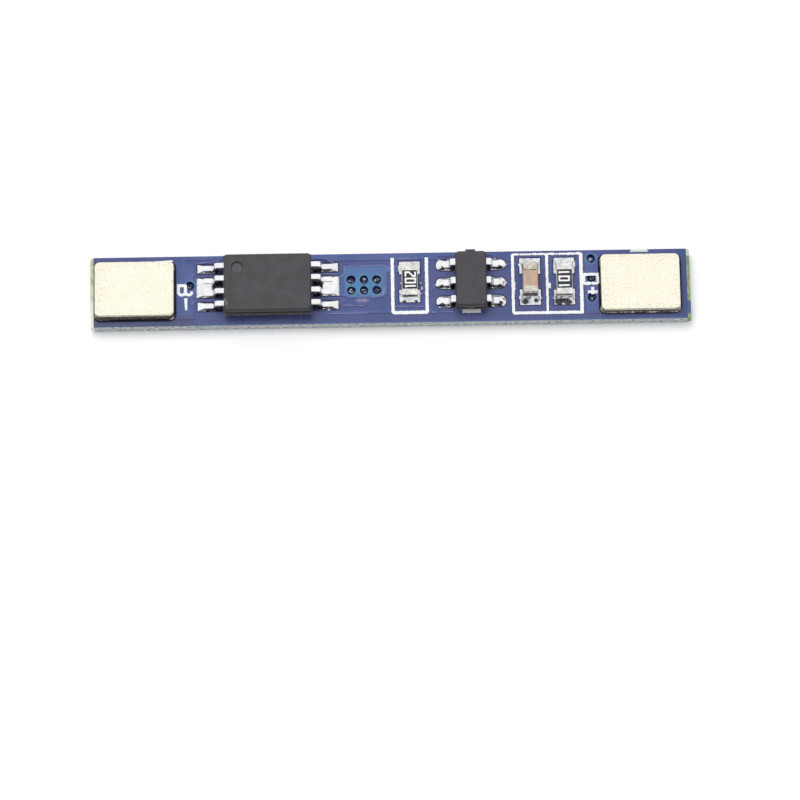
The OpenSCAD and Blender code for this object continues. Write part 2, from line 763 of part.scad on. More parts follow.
// Profile of a lead in X and Z: it starts inside the housing at x0 and leaves it at wall.
module lead_profile(x0, wall, shoulder, foot, h) {
    first = [wall + shoulder, h - bend_mid_r];
    second = [first[0] + lead_run(h), lead_t / 2 + bend_mid_r];
    outer = bend_r + lead_t;
    tip = second[0] + foot;
    polygon(concat([[x0, h + lead_t / 2]], arc(first, outer, 0, lead_turn),
        arc(second, bend_r, 180 + lead_turn, 180), [[tip, lead_t], [tip, 0]],
        arc(second, outer, 180, 180 + lead_turn), arc(first, bend_r, lead_turn, 0),
        [[x0, h - lead_t / 2]]));
}

module mosfet_lead(n) {
    translate([mosfet_x, mosfet_row_y(mosfet_row(n)), pad_z + film_t])
        rotate(mosfet_side(n) == LEFT ? 180 : 0)
            along_y(mosfet_lead_w)
                lead_profile(paddle_x / 2 + paddle_gap, mosfet_body_x / 2, mosfet_shoulder,
                    mosfet_foot, mosfet_lead_h);
}

module controller_lead(n) {
    translate([controller_x, controller_row_y(controller_row(n)), pad_z + film_t])
        rotate(controller_side(n) == LEFT ? 180 : 0)
            along_y(controller_lead_w)
                lead_profile(controller_post_in, controller_body_x / 2, controller_shoulder,
                    controller_foot, controller_lead_h);
}

// ---- Moulded housings ----

// Half of a moulding: it tapers from the parting line by the draft over its height.
module mould_half(l, w, h) {
    inset = h * tan(mould_draft);
    hull() {
        linear_extrude(mould_skin) round_rect(l, w, mould_corner_r);
        translate([0, 0, h - mould_skin]) linear_extrude(mould_skin)
            round_rect(l - 2 * inset, w - 2 * inset, mould_corner_r);
    }
}

module moulding(l, w, t) {
    mould_half(l, w, t / 2, $fn = 32);
    mirror([0, 0, 1]) mould_half(l, w, t / 2, $fn = 32);
}

// ---- Switch chip ----

module mosfet_paddle_shape() {
    square([paddle_x, paddle_y], center = true);
    square([mosfet_tie_w, mosfet_body_y - 2 * tie_trim], center = true);
}

// The drain's two leads, the paddle and its tie bars are one stamping.
module mosfet_drain_frame() {
    color("silver") {
        mosfet_lead(1);
        mosfet_lead(8);
        translate([mosfet_x, mosfet_y, pad_z + film_t + mosfet_lead_h - lead_t / 2])
            linear_extrude(lead_t) {
                mosfet_paddle_shape();
                translate([0, mosfet_rows[0] * mosfet_pitch])
                    square([paddle_x + 2 * (paddle_gap + bridge_lap), mosfet_lead_w],
                        center = true);
            }
    }
}

module mosfet_die() {
    color("dimgray")
        translate([mosfet_x - mosfet_die[0] / 2, mosfet_y - mosfet_die[1] / 2,
            pad_z + film_t + mosfet_lead_h + lead_t / 2])
            cube(mosfet_die);
}

module mosfet_body() {
    color([0.33, 0.33, 0.33]) difference() {
        translate([mosfet_x, mosfet_y, pad_z + film_t + mosfet_lead_h])
            moulding(mosfet_body_x, mosfet_body_y, mosfet_body_t);
        mosfet_drain_frame();
        mosfet_die();
        for (n = [2 : 7]) mosfet_lead(n);
        translate([mosfet_x - mosfet_body_x / 2 + dimple_inset,
            mosfet_y + mosfet_body_y / 2 - dimple_inset,
            pad_z + film_t + mosfet_standoff + mosfet_body_t - dimple_deep])
            cylinder(over, d = dimple_d);
    }
}

// ---- Controller chip ----

module controller_paddle() {
    z = pad_z + film_t + controller_lead_h - lead_t / 2;
    color("silver") plate(z, lead_t) {
        pad(controller_x, controller_y, controller_paddle[0], controller_paddle[1]);
        span(controller_x - controller_tie_w / 2, controller_x + controller_tie_w / 2,
            controller_y - controller_body_y / 2 + tie_trim,
            controller_y + controller_body_y / 2 + tie_stub);
    }
}

module controller_die() {
    color("dimgray")
        translate([controller_x - controller_die[0] / 2, controller_y - controller_die[1] / 2,
            pad_z + film_t + controller_lead_h + lead_t / 2])
            cube(controller_die);
}

module controller_body() {
    color([0.33, 0.33, 0.33]) difference() {
        translate([controller_x, controller_y, pad_z + film_t + controller_lead_h])
            moulding(controller_body_x, controller_body_y, controller_body_t);
        controller_paddle();
        controller_die();
        for (n = [1 : 6]) controller_lead(n);
    }
}

// ---- Solder joints ----

// A hollow solder fillet that climbs from p, at the film's level, to q. Its arc runs level
// where it leaves the pad, or upright where it meets the wall, whichever fits.
module fillet(p, q, rise) {
    run = abs(q - p);
    r = (run * run + rise * rise) / (2 * min(run, rise));
    centre = rise <= run ? [p, film_t + r] : [q + sign(p - q) * r, film_t + rise];
    difference() {
        translate([min(p, q), 0]) square([run, film_t + rise]);
        translate(centre) circle(r, $fn = 96);
    }
}

// A mound from low to high: a film, a level top between a and b, and a fillet at each side.
module mound_profile(low, a, b, high, rise_a, rise_b, top) {
    translate([low, 0]) square([high - low, film_t]);
    translate([a, 0]) square([b - a, film_t + top]);
    fillet(low, a, rise_a);
    fillet(high, b, rise_b);
}

// The mound of solder about one foot, in X and Y about the chip's middle. Its fillets climb
// into the metal of the foot, which is cut out of it afterwards.
module foot_mound(low, tip, foot, high, lead_w) {
    inside = lead_t / 4;
    half = lead_w / 2 - inside;
    heel = tip - foot - bend_mid_r * sin(lead_turn);
    intersection() {
        along_y(lead_w + 2 * solder_side)
            mound_profile(low, heel, tip - inside, high, heel_rise, toe_rise, side_rise);
        along_x(3 * high)
            mound_profile(-lead_w / 2 - solder_side, -half, half, lead_w / 2 + solder_side,
                side_rise, side_rise, heel_rise);
    }
}

module mosfet_joints() {
    for (side = [0, 180], row = [0 : 3])
        translate([mosfet_x, mosfet_row_y(row), pad_z]) rotate(side)
            foot_mound(mosfet_pad_out - mosfet_pad_l + pad_rim, mosfet_tip, mosfet_foot,
                mosfet_pad_out - pad_rim, mosfet_lead_w);
}

module mosfet_solder() {
    color("gainsboro") difference() {
        union() {
            plate(pad_z, film_t) mosfet_pads();
            mosfet_joints();
        }
        for (n = [1 : 8]) mosfet_lead(n);
    }
}

module controller_joints() {
    for (side = [0, 180], row = [0 : 2])
        translate([controller_x, controller_row_y(row), pad_z]) rotate(side)
            foot_mound(controller_pad_out - controller_pad_l + controller_pad_w / 4,
                controller_tip, controller_foot, controller_pad_out - controller_pad_w / 4,
                controller_lead_w);
}

module controller_solder() {
    color("gainsboro") difference() {
        union() {
            plate(pad_z, film_t) controller_pads();
            controller_joints();
        }
        for (n = [1 : 6]) controller_lead(n);
    }
}

// ---- Resistors and capacitor ----

// A block that stands on the origin's level, with its long edges rounded.
module soft_block(x, y, z, r) {
    translate([0, 0, z / 2]) intersection() {
        linear_extrude(z, center = true) round_rect(x, y, r);
        along_y(y) round_rect(x, z, r);
        along_x(x) round_rect(y, z, r);
    }
}

// The part of a chip within cap_l of one end.
module end_zone(side, cap_l) {
    translate([-chip_w, side > 0 ? chip_l / 2 - cap_l : -chip_l, -over])
        cube([2 * chip_w, side > 0 ? chip_l : chip_l / 2 + cap_l, capacitor_t + 2 * over]);
}

module at_chip(x, y) {
    translate([x, y, pad_z + film_t]) children();
}

// The ceramic of a resistor, thinner than its end caps by their metal.
module resistor_core_block() {
    translate([-chip_w / 2, -chip_l / 2 + cap_t, cap_t])
        cube([chip_w, chip_l - 2 * cap_t, resistor_t - 2 * cap_t]);
}

module resistor_core(x, y) {
    color("whitesmoke") at_chip(x, y) resistor_core_block();
}

// The dark glaze lies between the end caps and stands level with them.
module resistor_glaze(x, y) {
    color([0.13, 0.13, 0.14]) at_chip(x, y)
        translate([-chip_w / 2, -chip_l / 2 + resistor_cap_l, resistor_t - cap_t])
            cube([chip_w, chip_l - 2 * resistor_cap_l, cap_t]);
}

// An end cap folds over the end, the top and the bottom of the ceramic.
module resistor_cap(x, y, side) {
    color("silver") at_chip(x, y) difference() {
        translate([-chip_w / 2, -chip_l / 2, 0]) cube([chip_w, chip_l, resistor_t]);
        translate([-chip_w, -chip_l / 2 + cap_t, cap_t])
            cube([2 * chip_w, chip_l - 2 * cap_t, resistor_t - 2 * cap_t]);
        translate([-chip_w, side > 0 ? -chip_l : -chip_l / 2 + resistor_cap_l, -over])
            cube([2 * chip_w, 1.5 * chip_l - resistor_cap_l, resistor_t + 2 * over]);
    }
}

module capacitor_core_block() {
    translate([0, 0, cap_t])
        soft_block(chip_w - 2 * cap_t, chip_l - 2 * cap_t, capacitor_t - 2 * cap_t, ceramic_r);
}

module capacitor_core() {
    color([0.72, 0.58, 0.48]) at_chip(capacitor_x, row_y) capacitor_core_block();
}

// A dipped end cap covers all five faces of the end.
module capacitor_cap(side) {
    color("silver") at_chip(capacitor_x, row_y) difference() {
        intersection() {
            soft_block(chip_w, chip_l, capacitor_t, ceramic_r + cap_t);
            end_zone(side, capacitor_cap_l);
        }
        capacitor_core_block();
    }
}

// Solder at both ends of a resistor or the capacitor.
module chip_joints(x, y, pad_out, wet) {
    half = chip_w / 2;
    pad_half = chip_pad_w / 2;
    pad_in = chip_l / 2 - chip_pad_in;
    flank_rise = min(wet * flank_share, flank_limit);
    color("gainsboro") translate([x, y, pad_z]) difference() {
        for (side = [-1, 1]) intersection() {
            along_x(chip_pad_w) mirror([side < 0 ? 1 : 0, 0])
                end_profile(pad_in, pad_out, wet);
            along_y(2 * pad_out)
                mound_profile(-pad_half, -half, half, pad_half, flank_rise, flank_rise, wet);
        }
        translate([-half, -chip_l / 2, film_t]) cube([chip_w, chip_l, wet + over]);
    }
}

module end_profile(pad_in, pad_out, wet) {
    translate([pad_in, 0]) square([pad_out - pad_in, film_t]);
    fillet(pad_in, chip_l / 2, wet * flank_share);
    fillet(pad_out, chip_l / 2, wet);
}

module sense_resistor_core() { resistor_core(sense_x, sense_y); }
module sense_resistor_glaze() { resistor_glaze(sense_x, sense_y); }
module sense_resistor_cap_back() { resistor_cap(sense_x, sense_y, BACK); }
module sense_resistor_cap_front() { resistor_cap(sense_x, sense_y, FRONT); }
module sense_resistor_solder() { chip_joints(sense_x, sense_y, sense_pad_out, resistor_wet); }
module supply_resistor_core() { resistor_core(supply_x, row_y); }
module supply_resistor_glaze() { resistor_glaze(supply_x, row_y); }
module supply_resistor_cap_back() { resistor_cap(supply_x, row_y, BACK); }
module supply_resistor_cap_front() { resistor_cap(supply_x, row_y, FRONT); }
module supply_resistor_solder() { chip_joints(supply_x, row_y, supply_pad_out, resistor_wet); }
module capacitor_cap_back() { capacitor_cap(BACK); }
module capacitor_cap_front() { capacitor_cap(FRONT); }
module capacitor_solder() { chip_joints(capacitor_x, row_y, supply_pad_out, capacitor_wet); }

laminate();
copper_top();
copper_bottom();
via_barrels();
mask_top();
mask_bottom();
legend_print();
output_minus_tin();
output_plus_tin();
negative_tab();
negative_tab_solder();
positive_tab();
positive_tab_solder();
mosfet_body();
mosfet_drain_frame();
mosfet_die();
color("silver") mosfet_lead(2);  // mosfet_lead_2
color("silver") mosfet_lead(3);  // mosfet_lead_3
color("silver") mosfet_lead(4);  // mosfet_lead_4
color("silver") mosfet_lead(5);  // mosfet_lead_5
color("silver") mosfet_lead(6);  // mosfet_lead_6
color("silver") mosfet_lead(7);  // mosfet_lead_7
mosfet_solder();
controller_body();
controller_paddle();
controller_die();
color("silver") controller_lead(1);  // controller_lead_1
color("silver") controller_lead(2);  // controller_lead_2
color("silver") controller_lead(3);  // controller_lead_3
color("silver") controller_lead(4);  // controller_lead_4
color("silver") controller_lead(5);  // controller_lead_5
color("silver") controller_lead(6);  // controller_lead_6
controller_solder();
sense_resistor_core();
sense_resistor_glaze();
sense_resistor_cap_back();
sense_resistor_cap_front();
sense_resistor_solder();
supply_resistor_core();
supply_resistor_glaze();
supply_resistor_cap_back();
supply_resistor_cap_front();
supply_resistor_solder();
capacitor_core();
capacitor_cap_back();
capacitor_cap_front();
capacitor_solder();
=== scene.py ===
# %% [markdown]
# # Dressing a battery management board
# The board is a narrow strip of blue-masked circuit board, 30 mm long, with a nickel tab at
# each end and a short row of soldered parts between them. Its solids come packed from CAD, in
# metres, each with its place in its own mesh. This lesson keeps every place and size, gives
# each solid a finish, and builds finer pieces where the real thing has soft edges, formed
# metal or solder. All lengths below are in millimetres and are scaled once, when a mesh is made.

# %% Load the solids
import math
import random

import bmesh
import bpy
from mathutils import Matrix, Vector, noise


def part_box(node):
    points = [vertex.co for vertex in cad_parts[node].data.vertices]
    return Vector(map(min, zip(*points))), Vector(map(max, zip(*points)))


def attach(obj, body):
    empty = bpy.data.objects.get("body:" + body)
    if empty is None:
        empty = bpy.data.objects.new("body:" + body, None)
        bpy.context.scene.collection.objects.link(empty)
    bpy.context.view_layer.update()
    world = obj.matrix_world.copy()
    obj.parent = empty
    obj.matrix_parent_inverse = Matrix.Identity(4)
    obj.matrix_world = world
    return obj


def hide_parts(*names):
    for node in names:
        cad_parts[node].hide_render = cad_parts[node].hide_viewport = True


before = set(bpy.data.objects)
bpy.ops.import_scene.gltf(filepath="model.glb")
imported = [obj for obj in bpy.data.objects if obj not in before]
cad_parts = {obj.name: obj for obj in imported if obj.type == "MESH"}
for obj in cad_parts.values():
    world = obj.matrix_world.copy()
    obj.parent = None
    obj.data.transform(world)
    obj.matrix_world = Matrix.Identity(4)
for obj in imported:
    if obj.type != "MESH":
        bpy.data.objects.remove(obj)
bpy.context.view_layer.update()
scene = bpy.context.scene
MM = 0.001


def box(node):
    """Lowest and highest corner of a solid, in millimetres."""
    low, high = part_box(node)
    return low / MM, high / MM


def middle_of(node):
    """The middle of a solid."""
    low, high = box(node)
    return (low + high) / 2


laminate_low, laminate_high = box("laminate")
mask_low, mask_top = box("mask_top")
print("board", [round(v, 3) for v in laminate_high - laminate_low], "mm")

# %% [markdown]
# ## The camera
# Small parts are usually shown almost from above, through a long lens, so that tall and low
# parts keep the same scale. The camera stands in front of the board, three quarters of the
# way up to the zenith, and aims at the empty table in front of it: the board then sits in
# the upper part of the frame, as on a page with room for words beneath it.

# %% Camera
def towards(azimuth, elevation):
    """A direction from the board: azimuth 0 is in front of it, and 90 is to its right."""
    turn, rise = math.radians(azimuth), math.radians(elevation)
    return Vector((math.cos(rise) * math.sin(turn), -math.cos(rise) * math.cos(turn),
                   math.sin(rise)))


def camera_at(aim, far, azimuth, elevation):
    """A camera that looks at a point from a distance, with the horizon level."""
    back = towards(azimuth, elevation)
    camera = bpy.data.objects.new("camera", bpy.data.cameras.new("camera"))
    scene.collection.objects.link(camera)
    camera.location = (Vector(aim) + back * far) * MM
    camera.rotation_euler = back.to_track_quat("Z", "Y").to_euler()
    return camera


camera = camera_at((0.383, -5.812, 0.9), 220.47, -0.966, 75.563)
camera.data.lens = 200
camera.data.clip_start = 0.01
camera.data.clip_end = 20
scene.camera = camera
scene.view_settings.view_transform = "Standard"

# %% [markdown]
# ## Wiring materials
# Every finish here is a small tree of nodes. A few helpers keep the trees short: they add a
# node and fill its sockets, turn Object coordinates into millimetres, and make the steps that
# nearly every finish needs, such as noise, a blend, a range, a distance and a bump.

# %% Colours and nodes
def paint(red, green, blue):
    """A colour given in the usual 0 to 255 steps, as the linear values that nodes use."""
    def linear(v):
        v /= 255
        return v / 12.92 if v <= 0.04045 else ((v + 0.055) / 1.055) ** 2.4
    return (linear(red), linear(green), linear(blue), 1.0)


def put(tree, kind, sockets=None, **settings):
    """One node of any kind: sockets take a value, or the output of another node."""
    node = tree.nodes.new(kind)
    for key, value in settings.items():
        setattr(node, key, value)
    for key, value in (sockets or {}).items():
        if isinstance(value, bpy.types.NodeSocket):
            tree.links.new(value, node.inputs[key])
        else:
            node.inputs[key].default_value = value
    return node


def add(tree, kind, sockets=None, **settings):
    """One node of the kinds that a material uses."""
    return put(tree, "ShaderNode" + kind, sockets, **settings)


def new_finish(name, metallic=0.0, roughness=0.5, ior=1.5):
    """A material with one Principled shader, whose even values are set on its own sockets."""
    material = bpy.data.materials.new(name)
    material.use_nodes = True
    shader = material.node_tree.nodes["Principled BSDF"]
    shader.inputs["Metallic"].default_value = metallic
    shader.inputs["Roughness"].default_value = roughness
    shader.inputs["IOR"].default_value = ior
    return material, material.node_tree, shader


def feed(tree, shader, socket, value):
    """Leads a value or a colour to one of the shader's sockets."""
    tree.links.new(value, shader.inputs[socket])


# %% Arithmetic of a finish
def reckon(tree, operation, first, second=0.0, third=0.0):
    """One step of arithmetic."""
    return add(tree, "Math", {0: first, 1: second, 2: third}, operation=operation).outputs[0]


def times(tree, first, second):
    """A product."""
    return reckon(tree, "MULTIPLY", first, second)


def away_from(tree, value, middle):
    """How far a value is from a middle one."""
    return reckon(tree, "ABSOLUTE", reckon(tree, "SUBTRACT", value, middle))


def spread(tree, value, low, high, to_low=0.0, to_high=1.0):
    """Smoothly turns the range low to high into another range."""
    return add(tree, "MapRange", {0: value, 1: low, 2: high, 3: to_low, 4: to_high},
               interpolation_type="SMOOTHSTEP").outputs[0]


def band(tree, value, low, rise, fall, high):
    """1 between rise and fall, and 0 below low and above high."""
    return times(tree, spread(tree, value, low, rise), spread(tree, value, fall, high, 1.0, 0.0))


def blend(tree, factor, first, second):
    """A mix of two colours."""
    return add(tree, "Mix", {0: factor, 6: first, 7: second}, data_type="RGBA").outputs[2]


# %% Places in a finish
def place(tree):
    """Object coordinates in millimetres."""
    coords = add(tree, "TexCoord")
    return add(tree, "VectorMath", {0: coords.outputs["Object"], 3: 1 / MM},
               operation="SCALE").outputs[0]


def axes(tree, vector):
    """X, Y and Z of a place."""
    return add(tree, "SeparateXYZ", {0: vector}).outputs


def stretched(tree, vector, along):
    """The same coordinates, scaled differently along each axis."""
    return add(tree, "VectorMath", {0: vector, 1: along}, operation="MULTIPLY").outputs[0]


def distance(tree, vector, point):
    """How far a place is from a point."""
    return add(tree, "VectorMath", {0: vector, 1: point}, operation="DISTANCE").outputs[1]


def off_middle(tree, vector, middle, along):
    """The way from a middle to a place, seen from above and scaled along X and Y."""
    way = add(tree, "VectorMath", {0: vector, 1: (*middle, 0)}, operation="SUBTRACT").outputs[0]
    return stretched(tree, way, (*along, 0))


def oval_distance(tree, vector, middle, along):
    """How far a place is from a middle, seen from above and scaled along X and Y."""
    way = off_middle(tree, vector, middle, along)
    return add(tree, "VectorMath", {0: way}, operation="LENGTH").outputs[1]


# %% Noise and bumps
def speckle(tree, vector, per_mm, detail=2.0, distortion=0.0):
    """Cloudy noise, so many waves to the millimetre."""
    return add(tree, "TexNoise", {"Vector": vector, "Scale": per_mm, "Detail": detail,
                                  "Distortion": distortion}).outputs[0]


def relief(tree, shader, height, depth_mm, strength=1.0):
    """Bumps of a height given in millimetres."""
    bump = add(tree, "Bump", {"Height": height, "Strength": strength,
                              "Distance": depth_mm * MM})
    feed(tree, shader, "Normal", bump.outputs[0])


def dress(material, *nodes):
    """Gives solids that keep their own shape a finish."""
    for node in nodes:
        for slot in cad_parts[node].material_slots:
            slot.material = material
    print(material.name, "on", *nodes)


# %% [markdown]
# ## Table and light
# The board lies on a white table. The table's colour makes the background, with a little
# light of its own for the eye and for reflections, so that it still takes a shadow. The sky
# is brightest high behind the board on the left, where one wide lamp adds some edge, so the
# front of each part lies in soft shade. A dark card in front of the board can be seen only
# in reflections: bright metal shows its shape by what it mirrors, so it needs something dark.

# %% Table
def seen_directly(tree):
    """1 for rays from the eye, a mirror or a glass, and 0 for soft light."""
    path = add(tree, "LightPath")
    direct = reckon(tree, "MAXIMUM", path.outputs["Is Camera Ray"],
                    path.outputs["Is Glossy Ray"])
    return reckon(tree, "MAXIMUM", direct, path.outputs["Is Transmission Ray"])


def white_table():
    """A wide white plane at the height that the board stands on."""
    mesh = bpy.data.meshes.new("table")
    mesh.from_pydata([(-2, -2, 0), (2, -2, 0), (2, 2, 0), (-2, 2, 0)], [], [(0, 1, 2, 3)])
    table = bpy.data.objects.new("table", mesh)
    scene.collection.objects.link(table)
    material, tree, shader = new_finish("table_white", roughness=0.9)
    shader.inputs["Base Color"].default_value = (0.9, 0.9, 0.905, 1)
    shader.inputs["Specular IOR Level"].default_value = 0.0
    glow = add(tree, "Emission", {"Strength": times(tree, seen_directly(tree), 0.13)})
    both = add(tree, "AddShader", {0: shader.outputs[0], 1: glow.outputs[0]})
    tree.links.new(both.outputs[0], tree.nodes["Material Output"].inputs[0])
    mesh.materials.append(material)


white_table()

# %% Sky
def soft_sky(even, extra, side):
    """White to the eye; for soft light it is even, with an extra glow on one side."""
    world = bpy.data.worlds.new("sky")
    scene.world = world
    world.use_nodes = True
    tree = world.node_tree
    direction = add(tree, "TexCoord").outputs["Generated"]
    facing = add(tree, "VectorMath", {0: direction, 1: Vector(side).normalized()},
                 operation="DOT_PRODUCT").outputs[1]
    glow = reckon(tree, "POWER", reckon(tree, "MAXIMUM", facing, 0.0), 2.0)
    fill = reckon(tree, "MULTIPLY_ADD", glow, extra, even)
    strength = add(tree, "Mix", {0: seen_directly(tree), 2: fill, 3: 1.0}).outputs[0]
    background = tree.nodes["Background"]
    background.inputs["Color"].default_value = (1, 1, 1, 1)
    tree.links.new(strength, background.inputs["Strength"])


soft_sky(0.55, 0.4, (-0.25, 0.35, 0.9))

# %% Lamp and dark card
def lamp(name, azimuth, elevation, far, width, power):
    """A square lamp that faces the board from a distance in metres; mirrors don't show it."""
    light = bpy.data.lights.new(name, "AREA")
    light.shape = "SQUARE"
    light.size = width
    light.energy = power
    holder = bpy.data.objects.new(name, light)
    away = towards(azimuth, elevation)
    holder.location = away * far
    holder.rotation_euler = away.to_track_quat("Z", "Y").to_euler()
    holder.visible_glossy = False
    scene.collection.objects.link(holder)


def dark_card(radius, low, high, half_turn):
    """Part of a round wall in front of the board, which only mirrors show."""
    steps = 24
    rim = [(radius * math.sin(a), -radius * math.cos(a))
           for a in (math.radians(-half_turn + 2 * half_turn * i / steps)
                     for i in range(steps + 1))]
    points = [(x, y, z) for x, y in rim for z in (low, high)]
    faces = [(2 * i, 2 * i + 2, 2 * i + 3, 2 * i + 1) for i in range(steps)]
    mesh = bpy.data.meshes.new("dark_card")
    mesh.from_pydata(points, [], faces)
    card = bpy.data.objects.new("dark_card", mesh)
    scene.collection.objects.link(card)
    material, _, shader = new_finish("card_black", roughness=1.0)
    shader.inputs["Base Color"].default_value = (0.035, 0.035, 0.04, 1)
    shader.inputs["Specular IOR Level"].default_value = 0.0
    mesh.materials.append(material)
    for kind in ("camera", "diffuse", "shadow", "transmission", "volume_scatter"):
        setattr(card, "visible_" + kind, False)


lamp("key", 212, 68, 0.8, 0.45, 2.4)
dark_card(0.5, 0.02, 0.65, 70)

# %% [markdown]
# ## Building with rings
# Moulded housings, rolled tabs and solder all have the same plan at every height: a rectangle
# with round corners that grows or shrinks. So a few rings of points, joined from one to the
# next and closed at both ends, make each of them. That gives clean four-sided faces, exact
# edges where they are wanted and real roundings that catch the light.

# %% A finished piece
def piece(name, points, faces, material, slot, sharp=35):
    """A finished piece that rides on the board; its points are in millimetres."""
    mesh = bpy.data.meshes.new(name)
    mesh.from_pydata([Vector(p) * MM for p in points], [], faces)
    return settle(name, mesh, material, sharp)


def settle(name, mesh, material, sharp=35):
    """Smooth faces with crisp edges, one material, and a place on the board."""
    mesh.name = name
    mesh.validate()
    mesh.shade_smooth()
    mesh.set_sharp_from_angle(angle=math.radians(sharp))
    if material is not None:
        mesh.materials.clear()
        mesh.materials.append(material)
    obj = bpy.data.objects.new(name, mesh)
    scene.collection.objects.link(obj)
    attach(obj, "root")
    print(name, len(mesh.polygons), "faces")
    return obj


# %% Plans and angles
def plan_of(low, high):
    """Middle and half sizes of a box, seen from above."""
    return ((low.x + high.x) / 2, (low.y + high.y) / 2,
            (high.x - low.x) / 2, (high.y - low.y) / 2)


def quarter_turn(steps):
    """Angles from nought to a right angle."""
    return [k / steps * math.pi / 2 for k in range(steps + 1)]


def circle(cx, cy, radius, z, around):
    """Points round a circle, counter-clockwise as seen from above."""
    turns = [2 * math.pi * k / around for k in range(around)]
    return [(cx + radius * math.cos(t), cy + radius * math.sin(t), z) for t in turns]


# %% Rings and skins
def ring(cx, cy, half_x, half_y, corner, z, steps=6):
    """A rectangle with round corners, counter-clockwise as seen from above."""
    corner = min(corner, half_x * 0.999, half_y * 0.999)
    points = []
    for quarter, (sx, sy) in enumerate(((1, 1), (-1, 1), (-1, -1), (1, -1))):
        for k in range(steps + 1):
            turn = (quarter + k / steps) * math.pi / 2
            points.append((cx + sx * (half_x - corner) + corner * math.cos(turn),
                           cy + sy * (half_y - corner) + corner * math.sin(turn), z))
    return points


def skin(rings):
    """Points and faces that join rings from the lowest to the highest and close both ends."""
    count = len(rings[0])
    points = [p for r in rings for p in r]
    faces = []
    for i in range(len(rings) - 1):
        for j in range(count):
            k = (j + 1) % count
            faces.append((i * count + j, i * count + k, (i + 1) * count + k,
                          (i + 1) * count + j))
    last = (len(rings) - 1) * count
    faces.append(tuple(range(count - 1, -1, -1)))
    faces.append(tuple(last + j for j in range(count)))
    return points, faces


def join(parts):
    """Several lots of points and faces as one."""
    points, faces = [], []
    for some_points, some_faces in parts:
        start = len(points)
        points += some_points
        faces += [tuple(start + v for v in f) for f in some_faces]
    return points, faces


# %% [markdown]
# ## Solder mask and laminate
# The blue mask is a thin lacquer. It looks lighter and bluer where copper lies under it, and
# duller and more violet where it covers bare laminate, so its colour here follows its own
# height: over copper it stands higher. Near the plated holes it runs thin over a wide pour of
# copper and turns teal. The laminate shows only at the cut sides, as grey bundles of glass,
# and at the snapped ends, where it is the pale yellow-green of resin.

# %% Where things lie on the mask
HOLE_PITCH, HOLE_ROWS = 0.64, (0.45, -0.11)
HOLES = [(-10.0075, 0.27)]
HOLES += [(-1.958 + HOLE_PITCH * i, y) for i in range(3) for y in HOLE_ROWS]
HOLES += [(10.0475, y) for y in (1.35, 0.35, -0.65)]
# The pour is given by its half sizes. A shape scales X and Y, so that an oval measures round.
POUR_MIDDLE, POUR_HALF = (-1.17, 0.32), (1.14, 0.78)
TEAL_MIDDLE, TEAL_SHAPE = (-1.33, 0.2), (1.0, 1.55)
SMEAR_MIDDLE, SMEAR_SHAPE = (-1.38, -0.62), (2.6, 7.0)
print(len(HOLES), "plated holes")


def distance_to_holes(tree, vector):
    """How far a place is from the nearest plated hole, seen from above."""
    flat = stretched(tree, vector, (1, 1, 0))
    nearest = None
    for x, y in HOLES:
        d = distance(tree, flat, (x, y, 0))
        nearest = d if nearest is None else reckon(tree, "MINIMUM", nearest, d)
    return nearest


# %% Mask: the pour and its holes
def colour_pour(tree, here, clouds, raised, colour):
    """Round the six holes the mask is thin and teal, which fades into the blue of the pour."""
    reach = oval_distance(tree, here, TEAL_MIDDLE, TEAL_SHAPE)
    reach = reckon(tree, "MULTIPLY_ADD", clouds, 0.5, reach)
    teal = blend(tree, spread(tree, reach, 0.6, 1.35), paint(56, 130, 174), paint(78, 112, 162))
    way = off_middle(tree, here, POUR_MIDDLE, [1 / half for half in POUR_HALF])
    way = add(tree, "VectorMath", {0: way}, operation="ABSOLUTE").outputs[0]
    sides = axes(tree, way)
    patch = spread(tree, reckon(tree, "MAXIMUM", sides[0], sides[1]), 0.93, 1.04, 0.85, 0.0)
    return blend(tree, times(tree, patch, raised), colour, teal)


def colour_round_holes(tree, here, colour):
    """A dark collar round each hole, and a painted highlight as a pale line round the collar."""
    away = distance_to_holes(tree, here)
    collar = band(tree, away, 0.2, 0.24, 0.25, 0.31)
    colour = blend(tree, times(tree, collar, 0.55), colour, paint(52, 96, 158))
    # Painted highlight: a pale line where the rim of each hole's dimple catches the light.
    line = band(tree, away, 0.275, 0.29, 0.3, 0.315)
    return blend(tree, times(tree, line, 0.45), colour, paint(126, 152, 194))


# %% Mask: painted light at the edges, and flux
def edge_shade_and_highlight(tree, xyz, colour):
    """Painted light: a deep blue shade at the right end and a cyan highlight along the front."""
    # Painted shade: the right end turns deep blue beside the tab.
    right = spread(tree, xyz[0], 14.1, 14.5, 0.0, 0.7)
    colour = blend(tree, right, colour, paint(48, 74, 124))
    # Painted highlight: a cyan line along the front edge.
    front = spread(tree, xyz[1], mask_low.y + 0.01, mask_low.y + 0.08, 0.75, 0.0)
    return blend(tree, front, colour, paint(66, 112, 164))


def colour_flux(tree, here, xyz, grain, colour):
    """A smear of flux in front of the pour, and a dull film along the front, most at left."""
    smear = oval_distance(tree, here, SMEAR_MIDDLE, SMEAR_SHAPE)
    smear = reckon(tree, "MULTIPLY_ADD", grain, 1.2, smear)
    colour = blend(tree, spread(tree, smear, 0.9, 1.8, 0.7, 0.0), colour, paint(150, 140, 172))
    dull = times(tree, spread(tree, xyz[0], -10.2, -9.4, 0.75, 0.25),
                 spread(tree, xyz[1], -1.35, -1.15, 1.0, 0.0))
    return blend(tree, dull, colour, paint(72, 80, 112))


